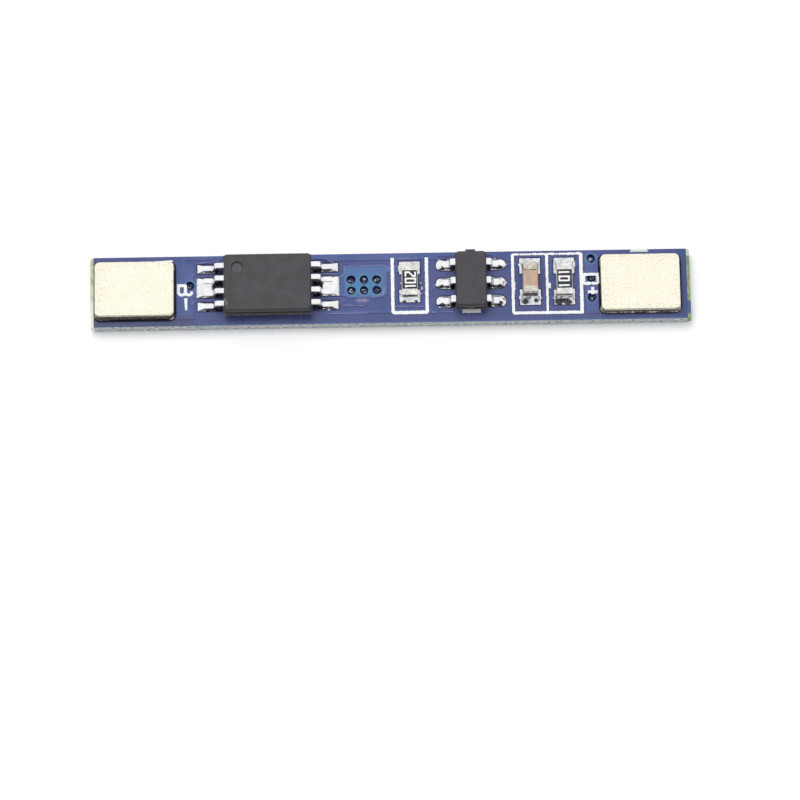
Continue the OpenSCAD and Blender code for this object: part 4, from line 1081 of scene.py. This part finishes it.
# %% The tree for leads
def lead_tree():
    """Two rows of leads, swept along the path that the tree is given."""
    tree, ids = open_tree("formed_leads", (
        ("Lead width", "Float"), ("Lead thickness", "Float"), ("Edge radius", "Float"),
        ("Pitch", "Float"), ("Leads in a row", "Int"), ("Metal", "Material")))
    given = put(tree, "NodeGroupInput").outputs
    section = put(tree, "GeometryNodeCurvePrimitiveQuadrilateral",
                  {"Width": given["Lead width"], "Height": given["Lead thickness"]})
    fillet = put(tree, "GeometryNodeFilletCurve", {"Curve": section.outputs[0],
                                                   "Radius": given["Edge radius"]})
    if "Mode" in fillet.inputs:
        fillet.inputs["Mode"].default_value = "Poly"
    else:
        fillet.mode = "POLY"
    fillet.inputs["Count"].default_value = 3
    sweep = put(tree, "GeometryNodeCurveToMesh", {"Curve": given["Geometry"],
                                                  "Profile Curve": fillet.outputs[0],
                                                  "Fill Caps": True})
    gaps = reckon(tree, "SUBTRACT", given["Leads in a row"], 1.0)
    half = times(tree, times(tree, gaps, given["Pitch"]), 0.5)
    start = add(tree, "CombineXYZ", {"Y": half})
    step = add(tree, "CombineXYZ", {"Y": times(tree, given["Pitch"], -1.0)})
    row = put(tree, "GeometryNodeMeshLine", {"Count": given["Leads in a row"],
                                             "Start Location": start.outputs[0],
                                             "Offset": step.outputs[0]})
    copies = put(tree, "GeometryNodeInstanceOnPoints", {"Points": row.outputs[0],
                                                        "Instance": sweep.outputs[0]})
    other = put(tree, "GeometryNodeTransform", {"Geometry": copies.outputs[0],
                                                "Rotation": (0, 0, math.pi)})
    both = put(tree, "GeometryNodeJoinGeometry")
    tree.links.new(copies.outputs[0], both.inputs[0])
    tree.links.new(other.outputs[0], both.inputs[0])
    close_tree(tree, both.outputs[0], given["Metal"])
    return tree, ids


leads_tree, lead_inputs = lead_tree()

# %% The path of a lead
LEAD_T = 0.15  # thickness of the strip
LEAD_EDGE = 0.035  # radius of its edges
BEND_R = 0.08  # radius inside its bends
LEAN = 8  # how far the leg leans out, in degrees


def lead_path(start, wall, shoulder, rise, foot, steps=7):
    """Middle line of a lead in X and Z, from inside the housing to the tip of its foot."""
    turn = math.radians(90 - LEAN)
    r = BEND_R + LEAD_T / 2
    leg = (rise - LEAD_T / 2 - 2 * r * (1 - math.cos(turn))) / math.sin(turn)
    run = 2 * r * math.sin(turn) + leg * math.cos(turn)
    first = (wall + shoulder, rise - r)
    second = (first[0] + run, LEAD_T / 2 + r)
    path = [(start, rise)]
    path += [(first[0] + r * math.sin(turn * k / steps),
              first[1] + r * math.cos(turn * k / steps)) for k in range(steps + 1)]
    path += [(second[0] - r * math.sin(turn * k / steps),
              second[1] - r * math.cos(turn * k / steps)) for k in range(steps, -1, -1)]
    path.append((second[0] + foot, LEAD_T / 2))
    return path


# %% Rows of leads
def grow_leads(name, path, middle, base_z, width, pitch, count):
    """Runs the tree on a path and places the rows about a chip's middle."""
    curve = bpy.data.curves.new(name + "_path", "CURVE")
    curve.dimensions = "3D"
    spline = curve.splines.new("POLY")
    spline.points.add(len(path) - 1)
    for point, (x, z) in zip(spline.points, path):
        point.co = (x * MM, 0, z * MM, 1)
    mesh = run_tree(curve, leads_tree, lead_inputs, {
        "Lead width": width * MM, "Lead thickness": LEAD_T * MM, "Edge radius": LEAD_EDGE * MM,
        "Pitch": pitch * MM, "Leads in a row": count, "Metal": tin_plate})
    mesh.transform(Matrix.Translation(Vector((middle.x, middle.y, base_z)) * MM))
    return mesh


def with_block(mesh, middle, half_sizes, rim):
    """Joins an eased block to a mesh."""
    hx, hy, hz = half_sizes
    low_z, high_z = middle.z - hz, middle.z + hz
    rings = [ring(middle.x, middle.y, hx - inset, hy - inset, rim, z, 2)
             for inset, z in ((rim, low_z), (0.0, low_z + rim), (0.0, high_z - rim),
                              (rim, high_z))]
    points, faces = skin(rings)
    whole = bmesh.new()
    whole.from_mesh(mesh)
    verts = [whole.verts.new(Vector(p) * MM) for p in points]
    for f in faces:
        whole.faces.new([verts[i] for i in f])
    whole.to_mesh(mesh)
    whole.free()
    return mesh


# %% Leads of both chips
foot_z = box("mosfet_lead_2")[0].z
path = lead_path(1.45, 2.2, 0.26, SWITCH_MIDDLE.z - foot_z, 0.4)
mesh = grow_leads("switch_leads", path, SWITCH_MIDDLE, foot_z, 0.28, SWITCH_PITCH, 4)
# The block is the paddle that carries the switch's silicon inside its housing.
mesh = with_block(mesh, SWITCH_MIDDLE, (1.25, 1.1, 0.075), 0.02)
switch_leads = settle("switch_leads", mesh, None, 40)
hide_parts("mosfet_drain_frame", *["mosfet_lead_%d" % n for n in range(2, 8)])

path = lead_path(0.42, 0.8, 0.05, CONTROLLER_MIDDLE.z - foot_z, 0.2)
mesh = grow_leads("controller_leads", path, CONTROLLER_MIDDLE, foot_z, 0.35,
                  CONTROLLER_PITCH, 3)
controller_leads = settle("controller_leads", mesh, None, 40)
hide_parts(*["controller_lead_%d" % n for n in range(1, 7)])
print("leads", tuple(round(v / MM, 3) for v in switch_leads.dimensions),
      tuple(round(v / MM, 3) for v in controller_leads.dimensions))


# %% [markdown]
# ## Solder joints
# Molten solder wets the pad and the foot and freezes as a lump that is hollow near the metal
# and full near its edge. Each joint here is a stack of rings between the outline of its pad
# and the outline of the metal it climbs. How high it climbs depends on the direction: most at
# the end of a foot or a chip, less along the sides and hardly at all beneath. Noise moves the
# rings a little, and no two joints have the same seed.

# %% One joint of a lead
pad_z = box("mosfet_solder")[0].z


def lead_joint(cx, cy, side, pad, foot, corner, rises, seed):
    """A joint about one foot.

    pad and foot give where they begin and end from the chip's middle, and a half width; rises
    give how high the solder climbs at the toe, the flanks and the heel."""
    near, far, half = pad
    heel, tip, foot_half = foot
    toe, flank, back = rises
    mid, half_run = cx + side * (near + far) / 2, (far - near) / 2
    foot_mid, foot_run = cx + side * (heel + tip) / 2, (tip - heel) / 2
    outer = subdivide_ring(ring(mid, cy, half_run, half, corner, 0, 7), 0.06)
    inner = [(foot_mid + (x - mid) / half_run * foot_run, cy + (y - cy) / half * foot_half, 0)
             for x, y, _ in outer]

    def climb(x, y):
        along = (x - foot_mid) * side / foot_run
        lumpy = 1 + 0.3 * noise.noise(Vector((x * 5, y * 5, seed * 2.9)))
        end = toe if along > 0 else back
        share = max(0.0, abs(along) - 0.6) / 0.4
        return (flank + (end - flank) * share) * lumpy

    outer = ragged(outer, mid, cy, 0.018, seed)
    return skin(bead(outer, inner, pad_z, climb, seed, 9, 0.5, 1.5))


# %% Joints of the leads
def switch_joints():
    """Three joints on each side of the switch chip."""
    parts = []
    for side in (-1, 1):
        # The two middle feet of a side share one wide pad, wetted all over.
        for row, y, wide in ((0, 1.5 * SWITCH_PITCH, 0.225), (1, 0.0, 0.5),
                             (3, -1.5 * SWITCH_PITCH, 0.225)):
            parts.append(lead_joint(SWITCH_MIDDLE.x, SWITCH_MIDDLE.y + y, side,
                                    (2.6, 3.5, wide), (2.74, 3.17, wide - 0.1), 0.06,
                                    (0.13, 0.12, 0.1), row + 10 * side))
    return join(parts)


def controller_joints():
    """Three joints on each side of the controller chip."""
    parts = []
    for side in (-1, 1):
        for row in range(3):
            y = CONTROLLER_MIDDLE.y + (1 - row) * CONTROLLER_PITCH
            parts.append(lead_joint(CONTROLLER_MIDDLE.x, y, side, (1.0, 1.73, 0.275),
                                    (1.13, 1.375, 0.15), 0.25, (0.16, 0.14, 0.14),
                                    40 + row + 10 * side))
    return join(parts)


for name, joints, node in (("switch_joints", switch_joints, "mosfet_solder"),
                           ("controller_joints", controller_joints, "controller_solder")):
    solder = piece(name, *joints(), solder_bright, "solder", 60)
    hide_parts(node)


# %% [markdown]
# ## Resistors and capacitor
# A chip resistor is a sliver of white alumina with a black glaze between two folded metal
# caps. The capacitor is a brick of tan ceramic that was tumbled until its edges were round,
# with caps dipped on, so they bulge. Both are rings again, stacked along the length of the
# chip this time.

# %% Chip finishes
def make_ceramic(name, light, dark, roughness, waves, right_tint=None, right_x=0.0):
    """Fired ceramic or chipped epoxy, which may change its tint to the right of a place."""
    material, tree, shader = new_finish(name, roughness=roughness)
    here = place(tree)
    cloud = speckle(tree, here, waves, 4.0)
    fine = speckle(tree, here, waves * 5, 2.0)
    colour = blend(tree, spread(tree, cloud, 0.3, 0.7), dark, light)
    if right_tint is not None:
        right = spread(tree, axes(tree, here)[0], right_x + 0.1, right_x + 0.34)
        colour = blend(tree, right, colour, right_tint)
    feed(tree, shader, "Base Color", colour)
    relief(tree, shader, reckon(tree, "ADD", cloud, fine), 0.006, 0.5)
    return material


alumina = make_ceramic("alumina", paint(236, 236, 230), paint(214, 214, 208), 0.6, 8.0)
black_glaze = make_ceramic("black_glaze", paint(44, 44, 50), paint(30, 30, 36), 0.28, 5.0)
tan_ceramic = make_ceramic("tan_ceramic", paint(198, 174, 156), paint(180, 154, 136), 0.42,
                           3.0, paint(206, 168, 124), middle_of("capacitor_core").x)


# %% A soft bar
def along_chip(sections):
    """Rings stacked along Y: each is a middle x and z, two half sizes, a corner and a y."""
    rings = []
    for cx, cz, hx, hz, corner, y in sections:
        flat = ring(cx, cz, hx, hz, corner, y, 4)
        rings.append([(2 * cx - x, yy, z) for x, z, yy in flat])
    return rings


def soft_bar(low, high, corner, end, steps=4):
    """A bar along Y with round edges and eased ends."""
    cx, cz = (low.x + high.x) / 2, (low.z + high.z) / 2
    hx, hz = (high.x - low.x) / 2, (high.z - low.z) / 2
    sections = []
    for start, way in ((low.y, 1), (high.y, -1)):
        for turn in quarter_turn(steps)[::way]:
            inset = end * (1 - math.sin(turn))
            edge = min(max(corner - inset * 0.5, 0.01), 0.95 * (hz - inset))
            sections.append((cx, cz, hx - inset, hz - inset, edge,
                             start + way * end * (1 - math.cos(turn))))
    return skin(along_chip(sections))


# %% Resistors
def resistor(name):
    """The core, the glaze and the two caps of a chip resistor."""
    low, high = box(name + "_core")
    hair = Vector((0.005, 0, 0))
    core = piece(name + "_alumina", *soft_bar(low + hair, high - hair, 0.02, 0.02), alumina,
                 "alumina")
    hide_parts(name + "_core")
    low, high = box(name + "_glaze")
    coat_low = Vector((low.x + 0.03, low.y - 0.03, low.z - 0.03))
    coat_high = Vector((high.x - 0.03, high.y + 0.03, high.z + 0.004))
    glaze = piece(name + "_coat", *soft_bar(coat_low, coat_high, 0.026, 0.024), black_glaze,
                  "black_glaze")
    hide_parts(name + "_glaze")
    for end in ("back", "front"):
        cap = piece(name + "_fold_" + end, *soft_bar(*box(name + "_cap_" + end), 0.04, 0.035),
                    tin_cap, "tinned_cap")
        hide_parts(name + "_cap_" + end)


for name in ("sense_resistor", "supply_resistor"):
    resistor(name)


# %% Capacitor
core = piece("capacitor_ceramic", *soft_bar(*box("capacitor_core"), 0.1, 0.06), tan_ceramic,
             "capacitor_ceramic")
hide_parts("capacitor_core")
low, high = box("capacitor_cap_back")
DIP_MIDDLE, DIP_HALF = (low + high) / 2, (high - low) / 2


def dip_outline(tree, here):
    """A painted dark reflection: a line round the crown of the thick dip."""
    far = oval_distance(tree, here, (DIP_MIDDLE.x, DIP_MIDDLE.y - 0.01),
                        (1 / DIP_HALF.x, 1 / (DIP_HALF.y + 0.035)))
    # Painted dark reflection round the crown.
    line = band(tree, far, 0.84, 0.92, 0.98, 1.06)
    return times(tree, line, 0.65), paint(112, 108, 96)


def bowed(point):
    """Bows the thick dip's two edges along the chip, most at its middle."""
    x, y, z = point
    crown = 1 - ((x - DIP_MIDDLE.x) / DIP_HALF.x) ** 2
    return x, y + (0.03 * crown if y > DIP_MIDDLE.y else -0.02 - 0.06 * crown), z


outlined_dip = make_metal("outlined_dip", paint(226, 222, 212), paint(182, 178, 168), 0.3, 6.0,
                          0.014, 0.6, paint(124, 118, 108), dip_outline)
plain_dip = make_metal("plain_dip", paint(234, 230, 220), paint(186, 182, 172), 0.3, 6.0, 0.014,
                       0.6, paint(112, 106, 96))
for end, dip in (("back", outlined_dip), ("front", plain_dip)):
    points, faces = soft_bar(*box("capacitor_cap_" + end), 0.13, 0.09, steps=6)
    if end == "back":
        points = [bowed(p) for p in points]
    cap = piece("capacitor_dip_" + end, points, faces, dip, "tinned_cap")
    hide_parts("capacitor_cap_" + end)


# %% One joint of a chip part
def chip_joint(solder_low, solder_high, body_low, body_high, side, wet, seed):
    """A joint at one end of a chip.

    The solder climbs the end most, the flanks less, and nothing beneath."""
    cx = (solder_low.x + solder_high.x) / 2
    end_y = body_high.y if side > 0 else body_low.y
    far = solder_high.y if side > 0 else solder_low.y
    near = end_y - side * 0.4
    mid_y, half_y = (near + far) / 2, abs(far - near) / 2
    half_x = (solder_high.x - solder_low.x) / 2
    outer = subdivide_ring(ring(cx, mid_y, half_x, half_y, 0.05, 0, 4), 0.05)
    grip_mid, grip_half = end_y - side * 0.19, 0.17
    grip_x = (body_high.x - body_low.x) / 2 - 0.02
    inner = [(cx + (x - cx) / half_x * grip_x, grip_mid + (y - mid_y) / half_y * grip_half, 0)
             for x, y, _ in outer]

    def climb(x, y):
        along = (y - grip_mid) * side / grip_half
        across = abs(x - cx) / grip_x
        lumpy = 1 + 0.25 * noise.noise(Vector((x * 4, y * 4, seed * 1.7)))
        end = max(0.0, (along - 0.5) / 0.5) * (1 - 0.35 * across ** 4)
        flank = max(0.0, across - 0.8) / 0.2 * max(0.0, 0.5 + 0.5 * along)
        return max(0.02, wet * end, 0.42 * wet * flank) * lumpy

    outer = ragged(outer, cx, mid_y, 0.02, seed)
    return skin(bead(outer, inner, solder_low.z, climb, seed, 10, 0.3, 1.8))


# %% Joints of the chip parts
def chip_joints(name, wet, seed, extra=()):
    """Both joints of a chip; wet is how high the solder climbs its ends."""
    low, high = box(name + "_solder")
    front, back = box(name + "_cap_front"), box(name + "_cap_back")
    body_low = Vector(map(min, front[0], back[0]))
    body_high = Vector(map(max, front[1], back[1]))
    parts = [chip_joint(low, high, body_low, body_high, side, wet, seed + side)
             for side in (-1, 1)]
    joints = piece(name + "_joints", *join([*parts, *extra]), solder_grey, "solder", 60)
    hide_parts(name + "_solder")


def droplet(x, y, wide, deep, tall):
    """A ball of solder that stuck to the mask."""
    rows = [ring(x, y, wide * math.cos(a), deep * math.cos(a), 1.0,
                 mask_top.z - 0.01 + tall * math.sin(a), 3)
            for a in (0.0, 0.35, 0.7, 1.05, 1.35)]
    return skin(rows)


DROPS = [droplet(0.53, 0.2, 0.06, 0.1, 0.12), droplet(1.5, 0.18, 0.08, 0.09, 0.14),
         droplet(1.56, -0.06, 0.07, 0.12, 0.06)]
chip_joints("sense_resistor", 0.09, 3, DROPS)
chip_joints("supply_resistor", 0.2, 9)
chip_joints("capacitor", 0.17, 15)

# %% [markdown]
# ## Printed marks
# The white legend is screen-printed ink. Its lines are a hair ragged, most of all along the
# back edge of the board, where the screen lifts. So each line is a strip of many short
# sections whose two edges wander a little. The polarity marks beside the tabs are drawn with
# the same pen, and leave the plated holes free, and so are the stencilled value codes of the
# resistors. Text objects would be quicker, but their letters are smooth and even.

# %% Ink finish
def make_ink():
    """White ink, greyer where it lies thin."""
    material, tree, shader = new_finish("white_ink", roughness=0.55)
    here = place(tree)
    cloud = speckle(tree, here, 3.0, 3.0)
    thin = speckle(tree, here, 14.0, 3.0)
    colour = blend(tree, spread(tree, cloud, 0.3, 0.7), paint(244, 246, 246),
                   paint(252, 252, 252))
    colour = blend(tree, spread(tree, thin, 0.62, 0.78, 0.0, 0.4), colour, paint(190, 198, 212))
    feed(tree, shader, "Base Color", colour)
    relief(tree, shader, thin, 0.006, 0.6)
    return material


white_ink = make_ink()
legend_low, legend_high = box("legend_print")

# %% The pen
def pen(path, width, seed, rough=0.012, thin=0.0, step=0.06, narrow=1.0, top=None, bottom=None):
    """A printed stroke along a path: a closed strip whose edges wander; it may narrow."""
    rng = random.Random(seed)
    points = []
    for (ax, ay), (bx, by) in zip(path, path[1:]):
        parts = max(1, round(math.dist((ax, ay), (bx, by)) / step))
        points += [(ax + (bx - ax) * k / parts, ay + (by - ay) * k / parts)
                   for k in range(parts)]
    points.append(path[-1])
    count = len(points)
    left, right = [], []
    for i, (x, y) in enumerate(points):
        a, b = points[max(i - 1, 0)], points[min(i + 1, count - 1)]
        tangent = Vector((b[0] - a[0], b[1] - a[1])).normalized()
        normal = Vector((-tangent.y, tangent.x))
        # At a sharp corner the strip is mitred.
        before = Vector((x - a[0], y - a[1])).normalized() if i else tangent
        mitre = max(0.6, abs(before.dot(tangent)))
        dips = rng.random()
        pinch = thin * (dips if i % 2 else 0.3 * dips)
        half = width / 2 / mitre * (1 + (narrow - 1) * i / (count - 1))
        up = (half + rng.uniform(-rough, rough)) * (1 - pinch)
        down = (half + rng.uniform(-rough, rough)) * (1 - pinch)
        left.append((x + normal.x * up, y + normal.y * up))
        right.append((x - normal.x * down, y - normal.y * down))
    # Strokes that cross lie a hair apart, so that no two tops share one level.
    apart = 0.0006 * (seed % 11)
    top = (legend_high.z if top is None else top) - apart
    bottom = (legend_low.z - 0.004 if bottom is None else bottom) - apart
    return skin([[(*one, bottom), (*one, top), (*other, top), (*other, bottom)]
                 for one, other in zip(left, right)])


def curl(cx, cy, rx, ry, start, stop, steps=10):
    """Points along part of an ellipse, angles in degrees."""
    turns = [math.radians(start + (stop - start) * k / steps) for k in range(steps + 1)]
    return [(cx + rx * math.cos(t), cy + ry * math.sin(t)) for t in turns]


# %% Frames and bar
FRAME_WIDTH = 1.71
SENSE_LEFT = legend_low.x + 0.085
SENSE_RIGHT = SENSE_LEFT + FRAME_WIDTH
SENSE_FRONT, SENSE_BACK = -1.3, 1.54
SUPPLY_LEFT, SUPPLY_MIDDLE, SUPPLY_RIGHT = (legend_high.x - 0.08 - FRAME_WIDTH * k
                                            for k in (2, 1, 0))
FRONT_LINE, BACK_LINE = legend_low.y + 0.08, legend_high.y - 0.08
BAR_Y, BAR_HALF = -1.27, 0.46
strokes = [
    pen([(SENSE_LEFT, SENSE_BACK), (SENSE_LEFT, SENSE_FRONT + 0.05),
         (SENSE_LEFT + 0.05, SENSE_FRONT), (SENSE_RIGHT - 0.05, SENSE_FRONT),
         (SENSE_RIGHT, SENSE_FRONT + 0.05), (SENSE_RIGHT, SENSE_BACK)], 0.165, 1),
    pen([(SUPPLY_LEFT, BACK_LINE), (SUPPLY_LEFT, FRONT_LINE + 0.06),
         (SUPPLY_LEFT + 0.05, FRONT_LINE), (SUPPLY_RIGHT, FRONT_LINE)], 0.145, 2),
    pen([(SUPPLY_RIGHT, FRONT_LINE - 0.07), (SUPPLY_RIGHT, BACK_LINE)], 0.17, 8),
    pen([(SUPPLY_MIDDLE, BACK_LINE), (SUPPLY_MIDDLE, FRONT_LINE)], 0.14, 3, narrow=0.75),
    pen([(SUPPLY_LEFT - 0.03, BACK_LINE), (SUPPLY_RIGHT + 0.05, BACK_LINE)], 0.13, 4, 0.02,
        0.75, 0.075),
    pen([(SUPPLY_LEFT + 0.05, 0.19), (SUPPLY_LEFT + 0.05, -0.2)], 0.12, 5),
    pen([(SUPPLY_MIDDLE + 0.12, 0.12), (SUPPLY_MIDDLE + 0.12, -0.16)], 0.12, 6),
    pen([(CONTROLLER_MIDDLE.x - BAR_HALF, BAR_Y), (CONTROLLER_MIDDLE.x + BAR_HALF, BAR_Y)],
        0.18, 7),
]

# %% Polarity marks
# The letter beside each tab lies on its side, spine to the back. A plated hole breaks it.
strokes += [
    pen([(9.6, 0.53), (10.42, 0.53)], 0.14, 20),
    pen([(9.67, 0.53), (9.67, 0.13)] + curl(9.84, 0.13, 0.17, 0.08, 180, 350), 0.15, 21),
    pen([(10.36, 0.53), (10.36, 0.13)] + curl(10.2, 0.13, 0.16, 0.08, 0, -170), 0.13, 22),
    pen([(9.86, -0.38), (10.35, -0.38)], 0.14, 23),
    pen([(10.1, -0.13), (10.1, -0.5)], 0.15, 24),
    pen([(-10.655, 0.28), (-10.19, 0.28)], 0.15, 30),
    pen([(-10.59, 0.28), (-10.59, -0.02)] + curl(-10.4, -0.02, 0.19, 0.19, 180, 340), 0.15, 31),
    pen([(-10.23, 0.28), (-10.23, -0.1)], 0.15, 32),
    pen(curl(-10.07, -0.05, 0.15, 0.16, 190, 365, 12), 0.14, 33),
    pen([(-10.225, -0.38), (-10.2, -0.99)], 0.16, 34, narrow=0.65),
]
legend = piece("printed_marks", *join(strokes), white_ink, "white_ink", 30)
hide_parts("legend_print")

# %% [markdown]
# ## Ridges in the mask, with painted highlights
# Lacquer that flows over the edge of a copper track or pour stands up in a thin ridge. The
# ridges that catch the light are drawn with the same pen, in a paler lacquer colour that is a
# painted highlight.

# %% Ridges with painted highlights
def make_ridge_highlight():
    """The lacquer of the mask, with a painted highlight where it stands up."""
    material, tree, shader = new_finish("mask_ridge", roughness=0.35)
    here = place(tree)
    patchy = speckle(tree, here, 2.2, 3.0)
    feed(tree, shader, "Base Color", blend(tree, spread(tree, patchy, 0.35, 0.65),
                                           paint(92, 102, 152), paint(132, 138, 176)))
    relief(tree, shader, patchy, 0.01, 0.5)
    return material


# Paths of the ridges that carry a painted highlight.
RIDGES = [
    [(-2.595, 0.6), (-2.42, 0.655), (-2.3, 0.772), (-2.29, 1.148), (-1.3, 1.16), (-0.271, 1.174),
     (-0.1, 1.05), (-0.009, 0.892)],
    [(-2.589, -0.652), (-2.517, -0.851), (-1.336, -0.911), (-1.15, -0.72), (-0.948, -0.521),
     (-0.65, -0.4), (-0.372, -0.292), (-0.29, 0.024)],
    [(-3.211, -1.355), (-2.981, -1.28), (-1.151, -1.291)],
    [(-3.964, 1.47), (-3.6, 1.52), (-3.315, 1.5), (-2.95, 1.4), (-2.785, 1.31)],
    [(-3.45, 0.79), (-2.95, 0.77), (-2.74, 0.7)],
    [(0.215, -0.977), (1.702, -1.002)],
    [(2.002, -1.304), (3.1, -1.29)],
    [(0.333, 1.521), (1.363, 1.503)],
    [(-9.558, 1.42), (-9.2, 1.47), (-8.947, 1.49), (-8.55, 1.56)],
    [(-9.951, 0.72), (-9.85, 0.83), (-9.643, 0.9)],
    [(-9.94, -0.68), (-9.8, -0.56), (-9.667, -0.493)],
]
ridges = [pen(path, 0.042, 40 + n, 0.006, top=mask_top.z + 0.006, bottom=mask_top.z - 0.006)
          for n, path in enumerate(RIDGES)]
piece("mask_ridges", *join(ridges), make_ridge_highlight(), "solder_mask", 30)

# %% A scratch
# A hairline chip in the front left edge of the switch, pale inside.
chipped = make_ceramic("chipped_epoxy", paint(196, 190, 180), paint(150, 144, 136), 0.6, 8.0)
scratch = pen([(-8.262, -0.72), (-8.129, -0.96), (-8.165, -1.1)], 0.024, 55, 0.003, narrow=0.6,
              top=switch_high.z + 0.002, bottom=switch_high.z - 0.01)
piece("switch_scratch", *scratch, chipped, "moulded_epoxy", 30)

# %% Value codes
# Each digit's width, and its strokes about its middle.
DIGITS = {
    "0": (0.33, [[(0.0, -0.24), (-0.105, -0.24), (-0.105, 0.24), (0.105, 0.24), (0.105, -0.24),
                  (-0.01, -0.24)]]),
    "1": (0.2, [[(-0.01, -0.27), (-0.01, 0.28)], [(-0.02, 0.24), (-0.06, 0.18)]]),
    "2": (0.33, [[(-0.11, 0.24), (0.105, 0.24), (0.105, 0.06), (-0.1, -0.13), (-0.1, -0.24),
                  (0.125, -0.24)]]),
}


def value_code(name, text, gap, shift):
    """Stencilled digits that read from the front of the board to its back, on the glaze."""
    low, high = box(name + "_glaze")
    mid_x, mid_y = (low.x + high.x) / 2 + shift, (low.y + high.y) / 2
    along = mid_y - sum(DIGITS[d][0] + gap for d in text) / 2 + gap / 2
    parts = []
    for n, digit in enumerate(text):
        wide, paths = DIGITS[digit]
        for k, path in enumerate(paths):
            turned = [(mid_x - v, along + wide / 2 + u) for u, v in path]
            parts.append(pen(turned, 0.082, 60 + 2 * n + k, 0.003, step=0.08,
                             top=high.z + 0.012, bottom=high.z - 0.01))
        along += wide + gap
    piece(name + "_code", *join(parts), white_ink, "white_ink", 30)


value_code("sense_resistor", "102", 0.0, 0.035)
value_code("supply_resistor", "101", 0.075, -0.02)

# %% [markdown]
# ## Cups at the plated holes
# Mask that runs into a plated hole leaves a soft collar at its mouth and closes it a little
# way down, so each hole is a glossy cup whose pool gets a painted shade, near black. There
# are ten, in even rows, so they are made once, as rings about an axis, and Geometry Nodes set
# them out: one tree takes the cup and repeats it along two steps, with the counts and the
# steps on its named inputs.

# %% One cup
# A radius and a height for each ring, from the outside at the bottom over the collar and in.
CUP_WALL = ((0.16, -0.25), (0.178, -0.2), (0.178, -0.05), (0.215, -0.02), (0.262, -0.004),
            (0.262, 0.0), (0.252, 0.007), (0.24, 0.011), (0.23, 0.01), (0.222, 0.002),
            (0.215, -0.01), (0.203, -0.017), (0.19, -0.02), (0.18, -0.0225), (0.176, -0.03),
            (0.17, -0.07), (0.148, -0.1), (0.116, -0.12), (0.078, -0.134), (0.035, -0.141))


def mask_cup():
    """A cup about the origin, whose mouth lies level with the mask."""
    points, faces = skin([circle(0, 0, radius, z, 28) for radius, z in CUP_WALL])
    mesh = bpy.data.meshes.new("cup")
    mesh.from_pydata([Vector(p) * MM for p in points], [], faces)
    return mesh


# %% The tree that repeats it
def repeat_tree():
    """Copies of a mesh in rows, each a little smaller than whole by chance."""
    tree, ids = open_tree("repeat_in_rows", (
        ("First place", "Vector"), ("Step along", "Vector"), ("Step across", "Vector"),
        ("Count along", "Int"), ("Count across", "Int"), ("Unevenness", "Float"),
        ("Seed", "Int"), ("Lacquer", "Material")))
    given = put(tree, "NodeGroupInput").outputs
    along = put(tree, "GeometryNodeMeshLine", {"Count": given["Count along"],
                                               "Start Location": given["First place"],
                                               "Offset": given["Step along"]})
    across = put(tree, "GeometryNodeMeshLine", {"Count": given["Count across"],
                                                "Offset": given["Step across"]})
    rows = put(tree, "GeometryNodeInstanceOnPoints", {"Points": along.outputs[0],
                                                      "Instance": across.outputs[0]})
    places = put(tree, "GeometryNodeRealizeInstances", {0: rows.outputs[0]})
    smallest = reckon(tree, "SUBTRACT", 1.0, given["Unevenness"])
    size = put(tree, "FunctionNodeRandomValue", {2: smallest, 3: 1.0, "Seed": given["Seed"]},
               data_type="FLOAT")
    copies = put(tree, "GeometryNodeInstanceOnPoints", {"Points": places.outputs[0],
                                                        "Instance": given["Geometry"],
                                                        "Scale": size.outputs[1]})
    close_tree(tree, copies.outputs[0], given["Lacquer"])
    return tree, ids


rows_tree, rows_inputs = repeat_tree()

# %% Finish of the cups
def make_cup_finish():
    """A blue-green collar and a glossy pool given a painted shade, with glints of tin."""
    material, tree, shader = new_finish("mask_pooled", roughness=0.14)
    here = place(tree)
    level = reckon(tree, "SUBTRACT", axes(tree, here)[2], mask_top.z)
    patchy = speckle(tree, here, 2.6, 2.0)
    rim = blend(tree, spread(tree, patchy, 0.45, 0.58), paint(50, 92, 150), paint(104, 156, 144))
    # Painted shade: the shallow pool is made near black, as a deep hole would be.
    pool = blend(tree, spread(tree, patchy, 0.4, 0.6), paint(8, 10, 30), paint(20, 34, 78))
    colour = blend(tree, spread(tree, level, -0.006, 0.004), pool, rim)
    # A few streaks of the tin below shine through.
    streaks = speckle(tree, stretched(tree, here, (5.0, 9.0, 1.0)), 1.0, 3.0, 0.8)
    glint = times(tree, spread(tree, streaks, 0.54, 0.6),
                  spread(tree, level, -0.12, -0.09, 1.0, 0.0))
    feed(tree, shader, "Base Color", blend(tree, glint, colour, paint(186, 188, 212)))
    feed(tree, shader, "Metallic", glint)
    # The steep wall is matt, or it would mirror the whole sky as a white circle.
    wall = band(tree, level, -0.1, -0.08, -0.008, 0.002)
    feed(tree, shader, "Specular IOR Level", spread(tree, wall, 0.0, 1.0, 0.5, 0.02))
    feed(tree, shader, "Roughness", spread(tree, level, -0.01, 0.002, 0.14, 0.5))
    relief(tree, shader, patchy, 0.02, 0.6)
    return material


# %% Ten cups
mask_pooled = make_cup_finish()
ROW_GAP = HOLE_ROWS[1] - HOLE_ROWS[0]
for name, first, along, across, counts in (
        ("minus_hole_cup", HOLES[0], (1, 0, 0), (0, 1, 0), (1, 1)),
        ("output_hole_cups", HOLES[1], (HOLE_PITCH, 0, 0), (0, ROW_GAP, 0), (3, 2)),
        ("plus_hole_cups", HOLES[7], (0, -1.0, 0), (1, 0, 0), (3, 1))):
    cups = run_tree(mask_cup(), rows_tree, rows_inputs, {
        "First place": [v * MM for v in (*first, mask_top.z - 0.002)],
        "Step along": [v * MM for v in along], "Step across": [v * MM for v in across],
        "Count along": counts[0], "Count across": counts[1], "Unevenness": 0.05,
        "Seed": len(name), "Lacquer": mask_pooled})
    settle(name, cups, None, 50)
